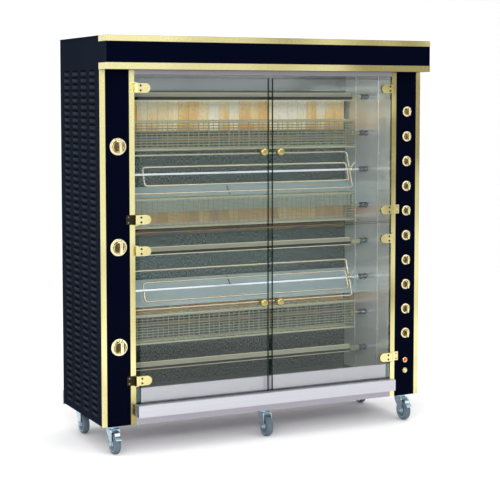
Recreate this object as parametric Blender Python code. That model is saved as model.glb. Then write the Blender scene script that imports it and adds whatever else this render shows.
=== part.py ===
"""A free-standing gas wall rotisserie: eight motor-driven spits behind four glass doors, on casters.

Metres, +Z up, the doors face -Y, and the origin is on the floor under the middle of the machine.
Heights named below are above the underside of the cabinet, depths are behind its front plane.
"""

import math

import bmesh
import bpy
from mathutils import Matrix, Vector

# The cabinet.
WIDTH = 1.375
DEPTH = 0.468
BODY_HEIGHT = 1.444
CASTER_HEIGHT = 0.107
SHEET = 0.0015
FIT = 0.0003  # between pieces that touch
PLAY = 0.001  # round a piece that turns or slides
VISOR_REACH = 0.070
VISOR_HEIGHT = 0.123
HEADER_HEIGHT = 0.018
BASE_HEIGHT = 0.030
PAD_SIZE = 0.070
STANDOFF_REACH = 0.055
STANDOFF_WIDTH = 0.030
STANDOFF_PAD = (-0.016, 0.039)
STANDOFF_INSET = 0.030
LOUVRE_PROUD = 0.004
LOUVRE_WIDTH = 0.062
LOUVRE_COLUMNS = 4
LOUVRE_PITCH = 0.0977
LOUVRE_FIRST = 0.093
LOUVRE_ENDS = (0.035, 0.129)  # above the bottom, below the top

# The front pillars.
PILLAR_WIDTH = 0.134
PILLAR_THICKNESS = 0.012
STRIP_OUTER = 0.020
STRIP_INNER = 0.021
PANEL_RECESS = 0.004

# The cooking cavity.
PLENUM = 0.093  # between the cavity's back wall and the back panel
SILL = (0.081, 0.136)
SILL_FLANGE = 0.015
SPITS = 8
SPIT_KINDS = ("v", "basket", "leg", "basket", "v", "leg", "basket", "v")
SPIT_PITCH = 0.1495
SPIT_BELOW_TOP = 0.081
SPIT_DEPTH = 0.190
SHAFT_RADIUS = 0.006
SHAFT_LENGTH = 0.022
COUPLING_RADIUS = 0.012
COUPLING_LENGTH = 0.038
STUB_RADIUS = 0.005
REST_LENGTH = 0.014
REST_WIDTH = 0.030
V_HALF_HEIGHT = 0.016
V_HALF_DEPTH = 0.010
V_THICKNESS = 0.003
V_BLOCK = 0.040  # the square block between the channel and the coupling
BASKET_HEIGHT = 0.116
BASKET_DEPTH = 0.062
BASKET_WIRE = 0.005
BASKET_START = 0.024  # from the left wall
BASKET_STOP = 0.0775  # from the right wall
LEG_RADIUS = 0.081
LEG_INNER = (0.050, 0.033)  # the inner frame below and above the bar
LEG_ROD = 0.008
LEG_TILT = math.radians(-20)  # the upper rods lean to the back
LEG_STOP = 0.090
LEG_INNER_ENDS = (0.079, 0.008)  # from the left and the right end of the outer frame
ZONES = ("top", "middle", "bottom")
ZONE_BELOW_TOP = 0.223  # the lower edge of the top bricks
ZONE_PITCH = 0.3715
BRICK_WIDTH = 0.045
BRICK_HEIGHT = 0.153
BRICK_THICKNESS = 0.012
BRICK_GROOVE = 0.003
BURNER_DROP = 0.028
BURNER_RADIUS = 0.012
BURNER_STANDOFF = 0.028
BURNER_INLET = 0.007
DEFLECTOR_RISE = 0.1545
DEFLECTOR_REACH = 0.095
DEFLECTOR_FALL = 0.0935

# The doors.
DOOR_TOP_GAP = 0.011
DOOR_BOTTOM = 0.0785
DOOR_SPLIT = 0.719
DOOR_GAP = 0.006
DOOR_MIDDLE_GAP = 0.015
GLASS = 0.006
HINGE_FORWARD = 0.011  # the hinge axis and the glass in front of the front plane
HINGE_INSET = 0.003  # the hinge axis from the pillar
GLASS_EDGE = 0.008  # the glass from the hinge axis
CLAMP_LENGTH = 0.054
CLAMP_HEIGHT = 0.035
CLAMP_RADIUS = 0.0065
CLAMP_PLACES = {"upper": (0.046, 0.038), "lower": (0.0875, 0.065)}
BRACKET = 0.036
BRACKET_THICKNESS = 0.0025
TONGUE = 0.004
PIN_RADIUS = 0.0022
PIN_LENGTH = 0.010
DOOR_KNOB_RADIUS = 0.016
DOOR_KNOB_FOOT = 0.010
DOOR_KNOB_NECK = 0.008
DOOR_KNOB_INSET = 0.0275
DOOR_KNOB_REACH = 0.026
DOOR_KNOB_HEIGHTS = {"upper": 1.012, "lower": 0.4285}

# The controls.
MOTOR_SIZE = (0.072, 0.028, 0.034)  # length, half depth and half height
MOTOR_PLATE = 0.003
PIPE_BEHIND = 0.070
PIPE_RADIUS = 0.010
BRANCH_RADIUS = 0.006
VALVE_HALF = 0.017
GRIP_TALL = 0.85  # of the knob's radius
GAS_KNOB_RADIUS = 0.032
GAS_KNOB_DEPTH = 0.032
GAS_KNOB_DROP = 0.0405  # below the bricks that it heats
SWITCHES = 10
SWITCH_RADIUS = 0.0205
SWITCH_DEPTH = 0.022
SWITCH_BELOW_TOP = 0.1405
SWITCH_PITCH = 0.1005
CONTROL_INSET = {"left": 0.068, "right": 0.063}
STEM_RADIUS = 0.004
STEM_REACH = 0.020
BUTTON_RADIUS = 0.007
BUTTON_HEIGHT = 0.1025
BUTTON_REACH = 0.008

# The drip tray and the casters.
APRON_TOP = 0.0755
APRON_REACH = 0.038
TRAY_SIDE_GAP = 0.008
TRAY_WALL = 0.002
WHEEL_RADIUS = 0.040
WHEEL_WIDTH = 0.024
WHEEL_CHAMFER = 0.004
TRAIL = 0.028
CASTER_INSET = 0.055
CASTER_FRONT = 0.048
CASTER_REAR = 0.400
SWIVEL_RADIUS = 0.022
SWIVEL_HEIGHT = 0.014
SWIVEL_PIN = 0.006
FORK_PLATE = 0.003
AXLE_RADIUS = 0.005

FRONT = -(DEPTH + STANDOFF_REACH - VISOR_REACH) / 2  # centres the whole length on Y = 0
CAVITY_TOP = BODY_HEIGHT - VISOR_HEIGHT - HEADER_HEIGHT
CAVITY_DEPTH = DEPTH - PLENUM
CAVITY_SIDE = WIDTH / 2 - PILLAR_WIDTH
PANEL_FACE = WIDTH / 2 - LOUVRE_PROUD
BEHIND_PILLAR = PILLAR_THICKNESS + FIT
HINGE_X = CAVITY_SIDE - HINGE_INSET
SIDES = {"left": -1, "right": 1}

NAVY = ((0.002, 0.005, 0.020), 0.25, 0.0)
GOLD = ((0.74, 0.63, 0.33), 0.35, 0.9)
BRASS = ((0.83, 0.66, 0.30), 0.25, 1.0)
SLATE = ((0.014, 0.020, 0.032), 0.5, 0.3)
STEEL = ((0.60, 0.61, 0.64), 0.35, 1.0)
DARK_STEEL = ((0.11, 0.15, 0.15), 0.5, 0.8)
BRICK = ((0.55, 0.30, 0.12), 0.9, 0.0)
CAST = ((0.10, 0.10, 0.11), 0.6, 0.6)
GLASS_TINT = ((0.65, 0.75, 0.72), 0.05, 0.0)
ZINC = ((0.55, 0.62, 0.70), 0.35, 0.9)
TYRE = ((0.02, 0.02, 0.02), 0.8, 0.0)


def up(height):
    """World Z of a height above the underside of the cabinet."""
    return CASTER_HEIGHT + height


def behind(depth):
    """World Y of a depth behind the front plane."""
    return FRONT + depth


def clear_scene():
    for thing in list(bpy.data.objects):
        bpy.data.objects.remove(thing)


def finish_of(name, finish):
    colour, roughness, metallic = finish
    material = bpy.data.materials.new(name)
    material.use_nodes = True
    shader = material.node_tree.nodes["Principled BSDF"]
    shader.inputs["Base Color"].default_value = (*colour, 1)
    shader.inputs["Roughness"].default_value = roughness
    shader.inputs["Metallic"].default_value = metallic
    return material


def box(low, high):
    """A box between two corners, given in any order."""
    low, high = Vector(low), Vector(high)
    size = [abs(side) for side in high - low]
    shape = bmesh.new()
    bmesh.ops.create_cube(shape, size=1)
    place = Matrix.Translation((low + high) / 2) @ Matrix.Diagonal((*size, 1))
    bmesh.ops.transform(shape, matrix=place, verts=shape.verts)
    return shape


def lathe(centre, direction, profile, sides=12):
    """A turned solid: its profile is (distance along the direction, radius) from one flat end to the other."""
    axis = Vector(direction).normalized()
    across = Vector((0, 1, 0)) if abs(axis.z) > 0.9 else Vector((0, 0, 1))
    beside = axis.cross(across)
    shape = bmesh.new()
    rings = []
    for along, radius in profile:
        ring = []
        for step in range(sides):
            turn = 2 * math.pi * step / sides
            spoke = across * math.cos(turn) + beside * math.sin(turn)
            ring.append(shape.verts.new(Vector(centre) + axis * along + spoke * radius))
        rings.append(ring)
    for lower, upper in zip(rings, rings[1:]):
        for step in range(sides):
            after = (step + 1) % sides
            shape.faces.new((lower[step], lower[after], upper[after], upper[step]))
    shape.faces.new(rings[0])
    shape.faces.new(rings[-1])
    bmesh.ops.recalc_face_normals(shape, faces=shape.faces)
    return shape


def rod(start, end, radius, sides=8):
    """A round bar between two points."""
    length = (Vector(end) - Vector(start)).length
    return lathe(start, Vector(end) - Vector(start), ((0, radius), (length, radius)), sides)


def prism(outline, axis, start, end):
    """An outline drawn square to an axis and extruded along it; its points are in X, Y, Z order without the axis."""
    index = "xyz".index(axis)
    shape = bmesh.new()
    corners = []
    for pair in outline:
        point = list(pair)
        point.insert(index, start)
        corners.append(shape.verts.new(point))
    face = shape.faces.new(corners)
    travel = [0, 0, 0]
    travel[index] = end - start
    grown = bmesh.ops.extrude_face_region(shape, geom=[face])["geom"]
    moved = [item for item in grown if isinstance(item, bmesh.types.BMVert)]
    bmesh.ops.translate(shape, vec=travel, verts=moved)
    bmesh.ops.recalc_face_normals(shape, faces=shape.faces)
    return shape


def tilted(shape, angle, centre):
    """The shape turned about an axis along X through a point."""
    turn = Matrix.Rotation(angle, 4, "X")
    place = Matrix.Translation(centre) @ turn @ Matrix.Translation(-Vector(centre))
    bmesh.ops.transform(shape, matrix=place, verts=shape.verts)
    return shape


def helper(name, shape, collection):
    """A hidden operand of a Boolean."""
    mesh = bpy.data.meshes.new(name)
    shape.to_mesh(mesh)
    shape.free()
    operand = bpy.data.objects.new(name, mesh)
    operand.hide_render = True
    operand.display_type = "WIRE"
    collection.objects.link(operand)


def combine(node, operation, shapes):
    """Adds a Boolean that joins the shapes to the node or cuts them from it."""
    label = f"{node.name}_{operation.lower()}"
    collection = bpy.data.collections.new(label)
    bpy.context.scene.collection.children.link(collection)
    for number, shape in enumerate(shapes, 1):
        helper(f"{label}_{number}", shape, collection)
    boolean = node.modifiers.new(operation.title(), "BOOLEAN")
    boolean.operation = operation
    boolean.operand_type = "COLLECTION"
    boolean.collection = collection
    boolean.solver = "EXACT"


def piece(name, finish, shapes, cuts=(), pivot=(0, 0, 0)):
    """One solid: the shapes joined, less the cuts, with its origin at the pivot of its joint."""
    first, *others = shapes
    bmesh.ops.translate(first, vec=-Vector(pivot), verts=first.verts)
    mesh = bpy.data.meshes.new(name)
    first.to_mesh(mesh)
    first.free()
    mesh.materials.append(finish_of(name, finish))
    node = bpy.data.objects.new(name, mesh)
    node.location = pivot
    bpy.context.scene.collection.objects.link(node)
    bpy.context.view_layer.update()
    if others:
        combine(node, "UNION", others)
    if cuts:
        combine(node, "DIFFERENCE", cuts)
    return node


def spit_height(number):
    return up(CAVITY_TOP - SPIT_BELOW_TOP - SPIT_PITCH * number)


def zone_height(number):
    """World Z of the lower edge of a zone's bricks."""
    return up(CAVITY_TOP - ZONE_BELOW_TOP - ZONE_PITCH * number)


def gas_knob_height(number):
    return zone_height(number) - GAS_KNOB_DROP


def switch_height(number):
    return up(CAVITY_TOP - SWITCH_BELOW_TOP - SWITCH_PITCH * number)


def caster_places():
    """The casters' swivel axes by name."""
    side = WIDTH / 2 - CASTER_INSET
    return {
        "front_left": (-side, behind(CASTER_FRONT)),
        "front_centre": (0, behind(CASTER_FRONT)),
        "front_right": (side, behind(CASTER_FRONT)),
        "rear_left": (-side, behind(CASTER_REAR)),
        "rear_right": (side, behind(CASTER_REAR)),
    }


def build_base_frame():
    """The folded floor pan with its front rail, a solid pad over each caster and two rear stand-offs."""
    side = PANEL_FACE - SHEET - FIT
    front, rear = behind(BEHIND_PILLAR), behind(DEPTH) - SHEET - FIT
    top = up(BASE_HEIGHT)
    shapes = [
        box((-side, front, top - SHEET), (side, rear, top)),
        box((-side, front, up(0)), (side, front + SHEET, top)),
        box((-side, rear - SHEET, up(0)), (side, rear, top)),
        box((-side, front, up(0)), (-side + SHEET, rear, top)),
        box((side - SHEET, front, up(0)), (side, rear, top)),
        box((FIT - CAVITY_SIDE, FRONT, up(0)), (CAVITY_SIDE - FIT, front + SHEET / 2, top)),
    ]
    bores = []
    for x, y in caster_places().values():
        half = PAD_SIZE / 2
        shapes.append(box((x - half, y - half, up(0)), (x + half, y + half, top - SHEET / 2)))
        bores.append(rod((x, y, up(-SHEET)), (x, y, top - 2 * SHEET), SWIVEL_PIN + PLAY))
    low, high = STANDOFF_PAD
    for sign in SIDES.values():
        middle = sign * (PANEL_FACE - STANDOFF_INSET)
        near, far = middle - STANDOFF_WIDTH / 2, middle + STANDOFF_WIDTH / 2
        end = behind(DEPTH + STANDOFF_REACH)
        shapes.append(box((near, rear - SHEET / 2, up(2 * SHEET)), (far, end, top - 2 * SHEET)))
        shapes.append(box((near, end - PILLAR_THICKNESS, up(low)), (far, end, up(high))))
    piece("base_frame", STEEL, shapes, bores)


def build_side_panel(name, sign):
    """A flat sheet with four raised strips that hold its pressed louvres."""
    face = sign * PANEL_FACE
    inner = sign * (PANEL_FACE - SHEET)
    top = up(BODY_HEIGHT) - SHEET - FIT
    shapes = [box((inner, behind(BEHIND_PILLAR), up(0)), (face, behind(DEPTH), top))]
    for column in range(LOUVRE_COLUMNS):
        middle = behind(LOUVRE_FIRST + LOUVRE_PITCH * column)
        near, far = middle - LOUVRE_WIDTH / 2, middle + LOUVRE_WIDTH / 2
        low, high = up(LOUVRE_ENDS[0]), up(BODY_HEIGHT - LOUVRE_ENDS[1])
        shapes.append(box(((face + inner) / 2, near, low), (sign * WIDTH / 2, far, high)))
    piece(f"{name}_side_panel", SLATE, shapes)


def build_back_panel():
    side = PANEL_FACE - SHEET - FIT
    low = (-side, behind(DEPTH) - SHEET, up(BASE_HEIGHT) + FIT)
    piece("back_panel", SLATE, [box(low, (side, behind(DEPTH), up(BODY_HEIGHT) - SHEET - FIT))])


def build_hood():
    """The roof, the overhanging visor, the header rail under it and the cavity's ceiling, folded as one."""
    half, top, low = WIDTH / 2, up(BODY_HEIGHT), up(BODY_HEIGHT - VISOR_HEIGHT)
    nose, face = FRONT - VISOR_REACH, FRONT + PILLAR_THICKNESS
    inner, ceiling = CAVITY_SIDE - FIT, up(CAVITY_TOP)
    shapes = [
        box((-half, nose, top - SHEET), (half, behind(DEPTH), top)),
        box((-half, nose, low), (half, nose + SHEET, top)),
        box((-half, nose, low), (half, face, low + SHEET)),
        box((-half, nose, low), (-half + SHEET, face, top)),
        box((half - SHEET, nose, low), (half, face, top)),
        box((-inner, FRONT, ceiling), (inner, FRONT + SHEET, low + SHEET / 2)),
        box((-inner, FRONT, ceiling), (inner, behind(CAVITY_DEPTH) - FIT, ceiling + SHEET)),
    ]
    piece("hood", NAVY, shapes)


def control_holes(name):
    """The holes in a pillar for the spindles of its knobs and, on the right, for the button."""
    x = SIDES[name] * (WIDTH / 2 - CONTROL_INSET[name])
    if name == "left":
        heights = [gas_knob_height(number) for number in range(len(ZONES))]
    else:
        heights = [switch_height(number) for number in range(SWITCHES)]
    ends = (FRONT - PLAY, behind(PILLAR_THICKNESS) + PLAY)
    holes = [rod((x, ends[0], z), (x, ends[1], z), STEM_RADIUS + PLAY) for z in heights]
    if name == "right":
        z = up(BUTTON_HEIGHT)
        holes.append(rod((x, ends[0], z), (x, ends[1], z), BUTTON_RADIUS + PLAY, 12))
    return holes


def door_edges(row):
    """The lower and upper edge of a door, as world Z."""
    if row == "upper":
        return up(DOOR_SPLIT + DOOR_GAP / 2), up(CAVITY_TOP - DOOR_TOP_GAP)
    return up(DOOR_BOTTOM), up(DOOR_SPLIT - DOOR_GAP / 2)


def clamp_heights(row):
    """The middle of a door's lower and upper clamp, as world Z."""
    low, high = door_edges(row)
    return low + CLAMP_PLACES[row][0], high - CLAMP_PLACES[row][1]


def hinge_pins(sign):
    """Tongues on the pillar with the pins on which the glass doors turn, and the lower hinges' brackets."""
    axis_y = FRONT - HINGE_FORWARD
    axis_x, root, edge = sign * HINGE_X, sign * (CAVITY_SIDE + 2 * TONGUE), sign * CAVITY_SIDE
    shapes = []
    for row in ("lower", "upper"):
        for middle, below in zip(clamp_heights(row), (-1, 1)):
            start = middle + below * (CLAMP_HEIGHT / 2 + PLAY)
            stop = start + below * 2 * SHEET
            near = (axis_x - sign * TONGUE, axis_y - TONGUE, start)
            shapes.append(box(near, (root, FRONT + PLAY, stop)))
            pin_start = (axis_x, axis_y, (start + stop) / 2)
            pin_end = (axis_x, axis_y, start - below * PIN_LENGTH)
            shapes.append(rod(pin_start, pin_end, PIN_RADIUS))
        middle = clamp_heights(row)[0]
        low, high = middle - BRACKET / 2, middle + BRACKET / 2
        face = FRONT - BRACKET_THICKNESS
        shapes.append(box((edge, face, low), (edge + sign * BRACKET, FRONT, high)))
        shapes.append(box((edge, face, low), (edge + sign * STRIP_INNER, FRONT + PLAY, high)))
    return shapes


def build_pillar(name, sign):
    """A gold carrier with a raised strip along each edge and a dark blue panel sunk between them."""
    outer, inner = sign * WIDTH / 2, sign * CAVITY_SIDE
    bottom, top = up(0), up(BODY_HEIGHT - VISOR_HEIGHT) - FIT
    floor, back = FRONT + PANEL_RECESS, FRONT + PILLAR_THICKNESS
    shapes = [
        box((inner, floor, bottom), (outer, back, top)),
        box((outer - sign * STRIP_OUTER, FRONT, bottom), (outer, back, top)),
        box((inner, FRONT, bottom), (inner + sign * STRIP_INNER, back, top)),
    ]
    piece(f"{name}_pillar_trim", GOLD, shapes + hinge_pins(sign), control_holes(name))
    low = (inner + sign * (STRIP_INNER + FIT), FRONT + PLAY / 2, bottom)
    high = (outer - sign * (STRIP_OUTER + FIT), floor - FIT, top)
    piece(f"{name}_pillar_panel", NAVY, [box(low, high)], control_holes(name))


def build_cavity_left_wall():
    """The left liner, with an open notch for the tip of each spit and holes for the burner inlets."""
    wall = -CAVITY_SIDE
    low = (wall - SHEET, behind(BEHIND_PILLAR), up(BASE_HEIGHT) + FIT)
    shapes = [box(low, (wall, behind(CAVITY_DEPTH) - FIT, up(CAVITY_TOP) + SHEET))]
    slot, half = STUB_RADIUS + PLAY, REST_WIDTH / 2
    notch = [(-half, -half), (half, -half), (half, slot), (slot, slot)]
    notch += [(slot, -slot), (-slot, -slot), (-slot, slot), (-half, slot)]
    for number in range(SPITS):
        outline = [(behind(SPIT_DEPTH) + y, spit_height(number) + z) for y, z in notch]
        shapes.append(prism(outline, "x", wall - SHEET / 2, wall + REST_LENGTH))
    holes = []
    for number in range(len(ZONES)):
        y, z = burner_line(number)
        holes.append(rod((wall - PILLAR_THICKNESS, y, z), (wall + PLAY, y, z), BURNER_INLET + PLAY))
    piece("cavity_left_wall", STEEL, shapes, holes)


def build_cavity_right_wall():
    """The right liner, with a hole for each spit's drive shaft."""
    low = (CAVITY_SIDE, behind(BEHIND_PILLAR), up(BASE_HEIGHT) + FIT)
    high = (CAVITY_SIDE + SHEET, behind(CAVITY_DEPTH) - FIT, up(CAVITY_TOP) + SHEET)
    holes = []
    for number in range(SPITS):
        y, z = behind(SPIT_DEPTH), spit_height(number)
        ends = (CAVITY_SIDE - PLAY, CAVITY_SIDE + SHEET + PLAY)
        holes.append(rod((ends[0], y, z), (ends[1], y, z), SHAFT_RADIUS + 2 * PLAY))
    piece("cavity_right_wall", STEEL, [box(low, high)], holes)


def build_cavity_back_wall():
    side = CAVITY_SIDE + SHEET
    low = (-side, behind(CAVITY_DEPTH), up(BASE_HEIGHT) + FIT)
    high = (side, behind(CAVITY_DEPTH) + SHEET, up(CAVITY_TOP) + SHEET)
    piece("cavity_back_wall", DARK_STEEL, [box(low, high)])


def burner_line(number):
    """Y and Z of a burner tube's axis."""
    return behind(CAVITY_DEPTH - BURNER_STANDOFF), zone_height(number) - BURNER_DROP


def build_heating_zone(name, number):
    """A row of upright firebricks with the tube burner under it."""
    back = behind(CAVITY_DEPTH) - FIT
    front = back - BRICK_THICKNESS
    bricks = int(2 * (CAVITY_SIDE - BRICK_THICKNESS) / BRICK_WIDTH)
    end = bricks * BRICK_WIDTH / 2
    outline = [(-end, back), (-end, front)]
    for joint in range(1, bricks):
        x = joint * BRICK_WIDTH - end
        outline += [(x - BRICK_GROOVE / 2, front), (x, front + BRICK_GROOVE), (x + BRICK_GROOVE / 2, front)]
    outline += [(end, front), (end, back)]
    low = zone_height(number)
    piece(f"firebrick_{name}", BRICK, [prism(outline, "z", low, low + BRICK_HEIGHT)])
    y, z = burner_line(number)
    reach = CAVITY_SIDE - 2 * BURNER_RADIUS
    inlet = -CAVITY_SIDE - 4 * BURNER_RADIUS
    foot = (reach - 2 * BURNER_RADIUS, y, z - BURNER_RADIUS / 2)
    shapes = [
        rod((-reach, y, z), (reach, y, z), BURNER_RADIUS, 10),
        rod((inlet, y, z), (BURNER_RADIUS - reach, y, z), BURNER_INLET),
        box(foot, (reach - BURNER_RADIUS, back, z + BURNER_RADIUS / 2)),
    ]
    piece(f"burner_{name}", CAST, shapes)


def build_deflector(name, number):
    """A sloping sheet that leans forward over the bricks of a lower zone."""
    back, side = behind(CAVITY_DEPTH) - BRICK_THICKNESS - 2 * FIT, CAVITY_SIDE - FIT
    top = zone_height(number) + DEFLECTOR_RISE
    nose, low = back - DEFLECTOR_REACH, top - DEFLECTOR_FALL
    outline = [(back, top), (back, top - SHEET), (nose, low - SHEET), (nose, low)]
    piece(f"deflector_{name}", STEEL, [prism(outline, "x", -side, side)])


def build_front_sill():
    """The low upstand behind the lower doors, with a flange folded back over the drip tray."""
    side, front = CAVITY_SIDE - FIT, FRONT + PLAY
    low, high = up(SILL[0]), up(SILL[1])
    plate = box((-side, front, low), (side, front + SHEET, high))
    flange = box((-side, front, low), (side, front + SILL_FLANGE, low + SHEET))
    piece("front_sill", STEEL, [plate, flange])


def build_gearmotor_rail():
    """The rail behind the right liner with a gearmotor for each spit."""
    start = CAVITY_SIDE + SHEET + FIT
    plate, motor, y = MOTOR_PLATE, MOTOR_SIZE, behind(SPIT_DEPTH)
    shapes, bores = [], []
    ends = (spit_height(SPITS - 1) - PAD_SIZE, spit_height(0) + PAD_SIZE)
    shapes.append(box((start, y - motor[1], ends[0]), (start + plate, y + motor[1], ends[1])))
    for number in range(SPITS):
        z = spit_height(number)
        near = (start + plate / 2, y - motor[1] + PLAY, z - motor[2])
        shapes.append(box(near, (start + motor[0], y + motor[1] - PLAY, z + motor[2])))
        bore_end = start + SHAFT_LENGTH + PLAY
        bores.append(rod((start - PLAY, y, z), (bore_end, y, z), SHAFT_RADIUS + PLAY))
    piece("gearmotor_rail", CAST, shapes, bores)


def build_gas_manifold():
    """The supply pipe behind the left pillar, with a valve behind each gas knob and a branch to each burner."""
    x = CONTROL_INSET["left"] - WIDTH / 2
    pipe_y, half = behind(PIPE_BEHIND), VALVE_HALF
    inlet = -CAVITY_SIDE - 4 * BURNER_RADIUS - FIT
    low = gas_knob_height(len(ZONES) - 1) - 2 * PIPE_RADIUS
    shapes = [rod((x, pipe_y, low), (x, pipe_y, gas_knob_height(0) + PIPE_RADIUS), PIPE_RADIUS)]
    bores = []
    for number in range(len(ZONES)):
        z = gas_knob_height(number)
        y, burner_z = burner_line(number)
        front = behind(PILLAR_THICKNESS + 4 * PLAY)
        shapes.append(box((x - half, front, z - half), (x + half, pipe_y + PIPE_RADIUS / 2, z + half)))
        shapes.append(rod((x, pipe_y, z), (x, y, burner_z), BRANCH_RADIUS))
        shapes.append(rod((x - BRANCH_RADIUS, y, burner_z), (inlet, y, burner_z), 1.5 * BRANCH_RADIUS))
        bore_end = behind(PILLAR_THICKNESS + STEM_REACH) + PLAY
        bores.append(rod((x, front - PLAY, z), (x, bore_end, z), STEM_RADIUS + PLAY))
    piece("gas_manifold", BRASS, shapes, bores)


def spit_ends(number):
    """What every spit has: its tip in the left notch, and its drive coupling and shaft on the right."""
    y, z = behind(SPIT_DEPTH), spit_height(number)
    tip, hub = 2 * PLAY - CAVITY_SIDE, CAVITY_SIDE - PLAY - COUPLING_LENGTH
    shaft_end = CAVITY_SIDE + SHEET + FIT + SHAFT_LENGTH
    shapes = [
        rod((hub, y, z), (hub + COUPLING_LENGTH, y, z), COUPLING_RADIUS, 12),
        rod((hub + PLAY, y, z), (shaft_end, y, z), SHAFT_RADIUS),
    ]
    return shapes, tip, hub + PLAY


def build_v_spit(number):
    """A V-shaped channel that opens to the back, between a pointed block and a square one at the coupling."""
    shapes, tip, hub = spit_ends(number)
    y, z = behind(SPIT_DEPTH), spit_height(number)
    wall = V_THICKNESS
    outline = [(-V_HALF_DEPTH, V_HALF_HEIGHT), (V_HALF_DEPTH, wall / 2), (V_HALF_DEPTH, -wall / 2)]
    outline += [(-V_HALF_DEPTH, -V_HALF_HEIGHT), (-V_HALF_DEPTH, wall - V_HALF_HEIGHT)]
    outline += [(V_HALF_DEPTH - wall, 0), (-V_HALF_DEPTH, V_HALF_HEIGHT - wall)]
    outline = [(y - across, z + rise) for across, rise in reversed(outline)]
    start = tip + BASKET_START
    shapes.append(prism(outline, "x", start, hub - V_BLOCK + PLAY))
    square = V_HALF_DEPTH - PLAY
    shapes.append(box((hub - V_BLOCK, y - square, z - square), (hub + PLAY, y + square, z + square)))
    block = ((0, STUB_RADIUS), (BASKET_START, STUB_RADIUS), (2 * BASKET_START, V_HALF_DEPTH))
    shapes.append(lathe((tip, y, z), (1, 0, 0), block + ((2.5 * BASKET_START, V_HALF_DEPTH),), 10))
    return shapes


def build_basket_spit(number):
    """A flat wire cage between two end frames, with nothing through its middle."""
    shapes, tip, hub = spit_ends(number)
    y, z = behind(SPIT_DEPTH), spit_height(number)
    wire, deep, tall = BASKET_WIRE, BASKET_DEPTH / 2, BASKET_HEIGHT / 2
    start, stop = BASKET_START - CAVITY_SIDE, CAVITY_SIDE - BASKET_STOP
    shapes.append(rod((tip, y, z), (start + wire, y, z), STUB_RADIUS))
    shapes.append(rod((stop - wire, y, z), (hub + PLAY, y, z), STUB_RADIUS))
    for x in (start, stop - wire):
        shapes.append(box((x, y - wire, z - tall), (x + wire, y + wire, z + tall)))
    for x in (start, (start + stop - wire) / 2, stop - wire):
        for sign in (-1, 1):
            edge = sign * (tall - wire)
            shapes.append(box((x, y - deep, z + edge), (x + wire, y + deep, z + sign * tall)))
            edge = sign * (deep - wire)
            shapes.append(box((x, y + edge, z - tall), (x + wire, y + sign * deep, z + tall)))
    for sign in (-1, 1):
        face = sorted((y + sign * deep, y + sign * (deep - wire)))
        for rise in (wire / 2 - tall, (wire / 2 - tall) / 3, (tall - wire / 2) / 3, tall - wire / 2):
            low = (start, face[0], z + rise - wire / 2)
            shapes.append(box(low, (stop, face[1], z + rise + wire / 2)))
    return shapes


def build_leg_spit(number):
    """A square bar with hubs that carry two flat rod frames, one inside the other."""
    shapes, tip, hub = spit_ends(number)
    y, z = behind(SPIT_DEPTH), spit_height(number)
    half = LEG_ROD / 2
    start, stop = BASKET_START - CAVITY_SIDE, CAVITY_SIDE - LEG_STOP
    inner_start, inner_stop = start + LEG_INNER_ENDS[0], stop - LEG_INNER_ENDS[1]
    frame = [box((tip + BASKET_START, y - half, z - half), (hub + PLAY, y + half, z + half))]
    reach = LEG_RADIUS - half
    for x in (start, stop):
        frame.append(box((x, y - half, z - reach), (x + LEG_ROD, y + half, z + reach)))
    for x in (inner_start, inner_stop - LEG_ROD):
        frame.append(box((x, y - half, z - LEG_INNER[0]), (x + LEG_ROD, y + half, z + LEG_INNER[1])))
    for sign, inner in zip((-1, 1), LEG_INNER):
        middle = z + sign * (LEG_RADIUS - LEG_ROD)
        frame.append(box((start, y - half, middle - half), (stop + LEG_ROD, y + half, middle + half)))
        middle = z + sign * (inner - half)
        frame.append(box((inner_start, y - half, middle - half), (inner_stop, y + half, middle + half)))
    shapes.append(rod((tip, y, z), (tip + BASKET_START + PLAY, y, z), STUB_RADIUS))
    return shapes + [tilted(shape, LEG_TILT, (0, y, z)) for shape in frame]


def build_spits():
    builders = {"v": build_v_spit, "basket": build_basket_spit, "leg": build_leg_spit}
    for number, kind in enumerate(SPIT_KINDS):
        pivot = (0, behind(SPIT_DEPTH), spit_height(number))
        piece(f"spit_{number + 1}_{kind}", STEEL, builders[kind](number), pivot=pivot)


def build_door(row, side, sign):
    """A glass leaf with a brass clamp at each hinge pin and a round knob at its free edge."""
    x, y = sign * HINGE_X, FRONT - HINGE_FORWARD
    low, high = door_edges(row)
    free = sign * DOOR_MIDDLE_GAP / 2
    shapes = [box((x - sign * GLASS_EDGE, y - GLASS / 2, low), (free, y + GLASS / 2, high))]
    bores = []
    steps = 4
    round_end = [math.pi * (step / steps - 0.5) for step in range(steps + 1)]
    outline = [(x + sign * CLAMP_RADIUS * math.cos(a), y + CLAMP_RADIUS * math.sin(a)) for a in round_end]
    tip = x - sign * CLAMP_LENGTH
    outline += [(tip, y + CLAMP_RADIUS), (tip, y - CLAMP_RADIUS)]
    for middle, below in zip(clamp_heights(row), (-1, 1)):
        shapes.append(prism(outline, "z", middle - CLAMP_HEIGHT / 2, middle + CLAMP_HEIGHT / 2))
        start = middle + below * (CLAMP_HEIGHT / 2 + PLAY)
        bore_end = (x, y, start - below * (PIN_LENGTH + 2 * PLAY))
        bores.append(rod((x, y, start), bore_end, PIN_RADIUS + PLAY / 2))
    neck = GLASS / 2 + DOOR_KNOB_REACH / 2
    profile = ((-2 * GLASS, DOOR_KNOB_FOOT), (GLASS / 2, DOOR_KNOB_FOOT), (neck, DOOR_KNOB_NECK))
    profile += ((neck + SHEET, DOOR_KNOB_RADIUS), (GLASS / 2 + DOOR_KNOB_REACH, DOOR_KNOB_RADIUS))
    knob = (free + sign * DOOR_KNOB_INSET, y, up(DOOR_KNOB_HEIGHTS[row]))
    shapes.append(lathe(knob, (0, -1, 0), profile, 12))
    piece(f"{row}_{side}_door", GLASS_TINT, shapes, bores, (x, y, 0))


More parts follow.
